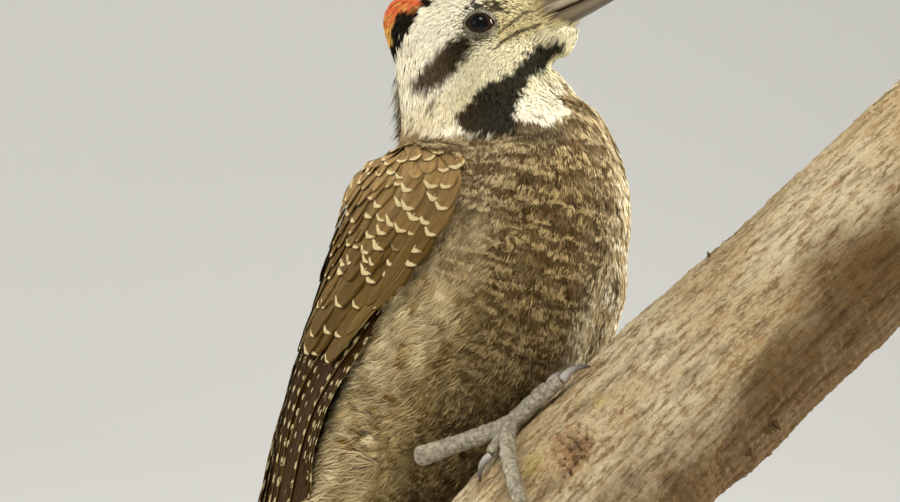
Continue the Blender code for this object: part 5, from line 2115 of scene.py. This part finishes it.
def dress_snags(branch):
    """Short splinters that stand off the bark, darkened all over with painted shade."""
    steps, sides = 7, 9
    turn = np.linspace(0, TURN, sides, endpoint=False)
    share = np.linspace(0, 1, steps)
    co, quads, fans, radii = [], [], [], []
    dice = chance(77)
    for k, (root, way, long, half) in enumerate(SNAGS):
        hit = branch.tree.find_nearest(Vector(root) * MM)
        way = unit(np.array(way, float))
        a = unit(np.cross(way, (0.3, 1.0, 0.2)))
        b = np.cross(way, a)
        q, t = np.meshgrid(share, turn, indexing="ij")
        r = half * (1 - 0.92 * q**1.3) * (1 + 0.25 * np.sin(3 * t + k))
        r = r + dice.normal(0, 0.05, q.shape) * (q < 1)
        bend = 0.5 * q**2 * math.sin(2.0 * k)
        line = np.array(hit[0]) / MM + (long * (q - 0.25))[..., None] * way + bend[..., None] * a
        place = line + (r * np.cos(t))[..., None] * a + (0.55 * r * np.sin(t))[..., None] * b
        co.append(place.reshape(-1, 3) * MM)
        first = steps * sides * k
        quads.append(round_grid(steps, sides) + first)
        fans += [cap + first for cap in caps(steps, sides)]
        radii.append(np.stack([q * 6, t, q], -1).reshape(-1, 3))
    ob = new_mesh("branch_snags", np.concatenate(co), quads=np.concatenate(quads), fans=fans)
    make_outward(ob)
    give(ob, "bark", np.concatenate(radii))
    # Painted shade over the whole of every snag.
    give(ob, "under", np.ones(steps * sides * len(SNAGS)))
    settle(ob, "bark", bark_finish())


def dress_cut_ends(branch):
    """Sawn end grain over both ends of the branch."""
    steps, sides = 16, 64
    rings = np.linspace(1.0, 0.02, steps)
    turn = np.linspace(0, TURN, sides, endpoint=False)
    co, quads, fans, radii, count = [], [], [], [], 0
    for along, out in ((0.0, -1), (branch.length, 1)):
        r, t = np.meshgrid(rings, turn, indexing="ij")
        centre, way, girth = branch.spot(np.full(r.shape, along), t)
        axis = branch.axis[0 if out < 0 else -1] * out
        reach = girth * 0.965 * r
        dome = 0.22 * (1 - r**4) + 0.03 * np.sin(reach / MM * 2.4)
        place = centre + way * reach[..., None] + axis * (0.10 + dome)[..., None] * MM
        co.append(place.reshape(-1, 3))
        ring, last = round_grid(steps, sides), caps(steps, sides)[1]
        if out < 0:
            ring, last = ring[:, ::-1], last[:, ::-1]
        quads.append(ring + count)
        fans.append(last + count)
        radii.append(np.stack([0 * reach, t * ROUND, reach / MM], -1).reshape(-1, 3))
        count += steps * sides
    ob = new_mesh("branch_ends", np.concatenate(co), quads=np.concatenate(quads), fans=fans)
    give(ob, "bark", np.concatenate(radii))
    settle(ob, "bark", cut_wood_finish())


# ---------------------------------------------------------------- stand, floor, light and camera


def dress_stand():
    """The solids of the stand keep their shape and take their finishes."""
    for name, node in SOLIDS.items():
        if name.startswith("stand_"):
            finish_of = stand_wood_finish() if name == "stand_base" else steel_finish()
            node.data.materials.clear()
            node.data.materials.append(finish_of)


def make_studio():
    """A pale paper sweep and soft lights from above and behind."""
    depth = np.array([-3.0, 0.6, 0.75, 0.9, 1.02, 1.10, 1.14, 1.15])
    height = np.array([0.0, 0.0, 0.012, 0.05, 0.12, 0.22, 0.30, 0.34])
    co, quads = [], []
    for y, z in zip(depth, height):
        co += [(-3.0, y, z), (3.0, y, z)]
    for i in range(len(depth) - 1):
        quads.append((2 * i, 2 * i + 1, 2 * i + 3, 2 * i + 2))
    ob = new_mesh("paper_sweep", np.array(co), quads=np.array(quads))
    ob.data.materials.append(studio_finish())
    world = bpy.data.worlds.new("studio air")
    world.use_nodes = True
    world.node_tree.nodes["Background"].inputs[0].default_value = (1.0, 0.99, 0.96, 1.0)
    world.node_tree.nodes["Background"].inputs[1].default_value = 0.42
    bpy.context.scene.world = world
    middle_place = Vector((-0.01, 0.0, 0.18))
    for name, place, size, power, colour in (
        ("soft_key", (0.10, -0.90, 1.40), 0.70, 7.3, (1.0, 0.96, 0.90)),
        ("left_fill", (-1.3, -0.8, 0.6), 1.1, 1.7, (1.0, 0.98, 0.95)),
        ("back_left", (-0.9, 0.5, 0.75), 0.35, 4.6, (1.0, 0.97, 0.90)),
        ("back_right", (1.05, 0.15, 0.62), 0.45, 10.5, (1.0, 0.97, 0.90)),
    ):
        light = bpy.data.lights.new(name, "AREA")
        light.shape = "DISK"
        light.size = size
        light.energy = power
        light.color = colour
        light.spread = math.radians(110)
        ob = bpy.data.objects.new(name, light)
        ob.location = place
        ob.rotation_euler = (middle_place - Vector(place)).to_track_quat("-Z", "Y").to_euler()
        bpy.context.scene.collection.objects.link(ob)


def place_camera():
    """A long lens level with the bird, looking straight along Y."""
    camera = bpy.data.cameras.new("camera")
    camera.lens = 300
    camera.sensor_width = 36
    camera.clip_start = 0.1
    camera.clip_end = 20
    ob = bpy.data.objects.new("camera", camera)
    ob.location = (-22 * MM, (10 - 204.5 * 300 / 36) * MM, 191 * MM)
    ob.rotation_euler = (math.radians(90), 0, 0)
    bpy.context.scene.collection.objects.link(ob)
    bpy.context.scene.camera = ob
    bpy.context.scene.view_settings.view_transform = "Standard"


# ---------------------------------------------------------------- the add-on's settings and buttons


def paint(name, description, value):
    return bpy.props.FloatVectorProperty(
        name=name, description=description, default=value, size=3, min=0, max=1, subtype="COLOR"
    )


class PlumageColours(bpy.types.PropertyGroup):
    """Colours of the feathers, as reflected light."""

    # Also laid on the marks of the bird's left side as painted light.
    white: paint("White", "Face, throat and neck", (0.86, 0.80, 0.62))
    grey: paint("Grey", "Flecks in the white", (0.50, 0.44, 0.29))
    black: paint("Black", "Moustache, crown and nape", (0.009, 0.007, 0.003))
    ear: paint("Ear", "Stripe behind the eye", (0.050, 0.028, 0.009))
    red: paint("Red", "Hind crown", (0.63, 0.14, 0.045))
    lore: paint("Lore", "Bristles round the bill", (0.58, 0.48, 0.23))
    # Also laid as painted shade in the groove down the breast.
    dark: paint("Dark", "Upper breast and parting", (0.055, 0.036, 0.018))
    breast: paint("Breast", "Ground of the breast", (0.118, 0.074, 0.032))
    cream: paint("Cream", "Scallops of the breast", (0.43, 0.335, 0.18))
    belly: paint("Belly", "Ground of the belly", (0.112, 0.074, 0.032))
    belly_cream: paint("Belly cream", "Bars of the belly", (0.36, 0.28, 0.15))
    # Also laid over the bird's left side as painted light.
    flank: paint("Flank", "Ground of the flanks", (0.47, 0.365, 0.19))
    mantle: paint("Mantle", "Back and small wing feathers", (0.235, 0.155, 0.066))
    covert: paint("Coverts", "Larger wing feathers", (0.088, 0.052, 0.013))
    flight: paint("Flight feathers", "Long wing and tail feathers", (0.024, 0.011, 0.0018))
    spot: paint("Spots", "Pale marks of the wing", (0.52, 0.42, 0.22))
    tail_bar: paint("Tail bars", "Pale bars of the tail", (0.30, 0.22, 0.11))


class WOODPECKER_OT_skin(bpy.types.Operator):
    """Make the bare body under the feathers"""

    bl_idname = "woodpecker.skin"
    bl_label = "Skin"

    def execute(self, context):
        ob = make_skin(context.scene.plumage_colours)
        settle(ob, "feathers_barred", skin_finish(), *FLESH)
        return {"FINISHED"}


class WOODPECKER_OT_head_coat(bpy.types.Operator):
    """Cover the head and neck with fine feathers"""

    bl_idname = "woodpecker.head_coat"
    bl_label = "Face and neck feathers"

    def execute(self, context):
        head_coat(context.scene.plumage_colours)
        dress_bristles(context.scene.plumage_colours)
        return {"FINISHED"}


class WOODPECKER_OT_under_coat(bpy.types.Operator):
    """Cover breast, belly and vent with soft barred feathers"""

    bl_idname = "woodpecker.under_coat"
    bl_label = "Breast and belly feathers"

    def execute(self, context):
        under_coat(context.scene.plumage_colours)
        return {"FINISHED"}


class WOODPECKER_OT_back(bpy.types.Operator):
    """Cover the back with short broad feathers"""

    bl_idname = "woodpecker.back"
    bl_label = "Back feathers"

    def execute(self, context):
        dress_back(context.scene.plumage_colours)
        return {"FINISHED"}


class WOODPECKER_OT_wings(bpy.types.Operator):
    """Lay the feathers of both folded wings"""

    bl_idname = "woodpecker.wings"
    bl_label = "Wing feathers"

    def execute(self, context):
        for side in SIDES:
            dress_wing(side, context.scene.plumage_colours, 51)
        return {"FINISHED"}


class WOODPECKER_OT_tail(bpy.types.Operator):
    """Lay the stiff tail feathers"""

    bl_idname = "woodpecker.tail"
    bl_label = "Tail feathers"

    def execute(self, context):
        dress_tail(context.scene.plumage_colours)
        return {"FINISHED"}


class WOODPECKER_OT_eyes(bpy.types.Operator):
    """Set the eyes and their lids"""

    bl_idname = "woodpecker.eyes"
    bl_label = "Eyes and lids"

    def execute(self, context):
        for side in SIDES:
            dress_eye(side)
            dress_lids(side)
        return {"FINISHED"}


class WOODPECKER_OT_bill(bpy.types.Operator):
    """Shape both halves of the bill"""

    bl_idname = "woodpecker.bill"
    bl_label = "Bill"

    def execute(self, context):
        dress_bill("bill_upper", UPPER_SIDE)
        dress_bill("bill_lower", LOWER_SIDE)
        return {"FINISHED"}


class WOODPECKER_OT_feet(bpy.types.Operator):
    """Shape the scaly feet and their claws"""

    bl_idname = "woodpecker.feet"
    bl_label = "Feet and claws"

    def execute(self, context):
        for side in SIDES:
            dress_foot(side)
            dress_claws(side)
        return {"FINISHED"}


class WOODPECKER_OT_branch(bpy.types.Operator):
    """Lay bark over the branch"""

    bl_idname = "woodpecker.branch"
    bl_label = "Branch"

    def execute(self, context):
        dress_branch()
        return {"FINISHED"}


class WOODPECKER_OT_stand(bpy.types.Operator):
    """Finish the base and its rods"""

    bl_idname = "woodpecker.stand"
    bl_label = "Stand"

    def execute(self, context):
        dress_stand()
        return {"FINISHED"}


class WOODPECKER_OT_stage(bpy.types.Operator):
    """Set up the floor, the lights and the camera"""

    bl_idname = "woodpecker.stage"
    bl_label = "Floor, lights and camera"

    def execute(self, context):
        make_studio()
        place_camera()
        return {"FINISHED"}


STEPS = (
    "skin", "head_coat", "under_coat", "back", "wings", "tail", "eyes", "bill", "feet", "branch", "stand",
    "stage"
)


class WOODPECKER_PT_panel(bpy.types.Panel):
    """The woodpecker's pieces, in the order they are made"""

    bl_label = "Woodpecker"
    bl_idname = "WOODPECKER_PT_panel"
    bl_space_type = "VIEW_3D"
    bl_region_type = "UI"
    bl_category = "Woodpecker"

    def draw(self, context):
        for step in STEPS:
            self.layout.operator(f"woodpecker.{step}")
        colours = context.scene.plumage_colours
        for name in PlumageColours.__annotations__:
            self.layout.prop(colours, name)


CLASSES = (
    PlumageColours,
    WOODPECKER_OT_skin,
    WOODPECKER_OT_head_coat,
    WOODPECKER_OT_under_coat,
    WOODPECKER_OT_back,
    WOODPECKER_OT_wings,
    WOODPECKER_OT_tail,
    WOODPECKER_OT_eyes,
    WOODPECKER_OT_bill,
    WOODPECKER_OT_feet,
    WOODPECKER_OT_branch,
    WOODPECKER_OT_stand,
    WOODPECKER_OT_stage,
    WOODPECKER_PT_panel,
)


def register():
    for kind in CLASSES:
        bpy.utils.register_class(kind)
    bpy.types.Scene.plumage_colours = bpy.props.PointerProperty(type=PlumageColours)


def unregister():
    del bpy.types.Scene.plumage_colours
    for kind in reversed(CLASSES):
        bpy.utils.unregister_class(kind)


def main():
    register()
    for step in STEPS:
        getattr(bpy.ops.woodpecker, step)()
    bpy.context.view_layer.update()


if __name__ == "__main__":
    main()
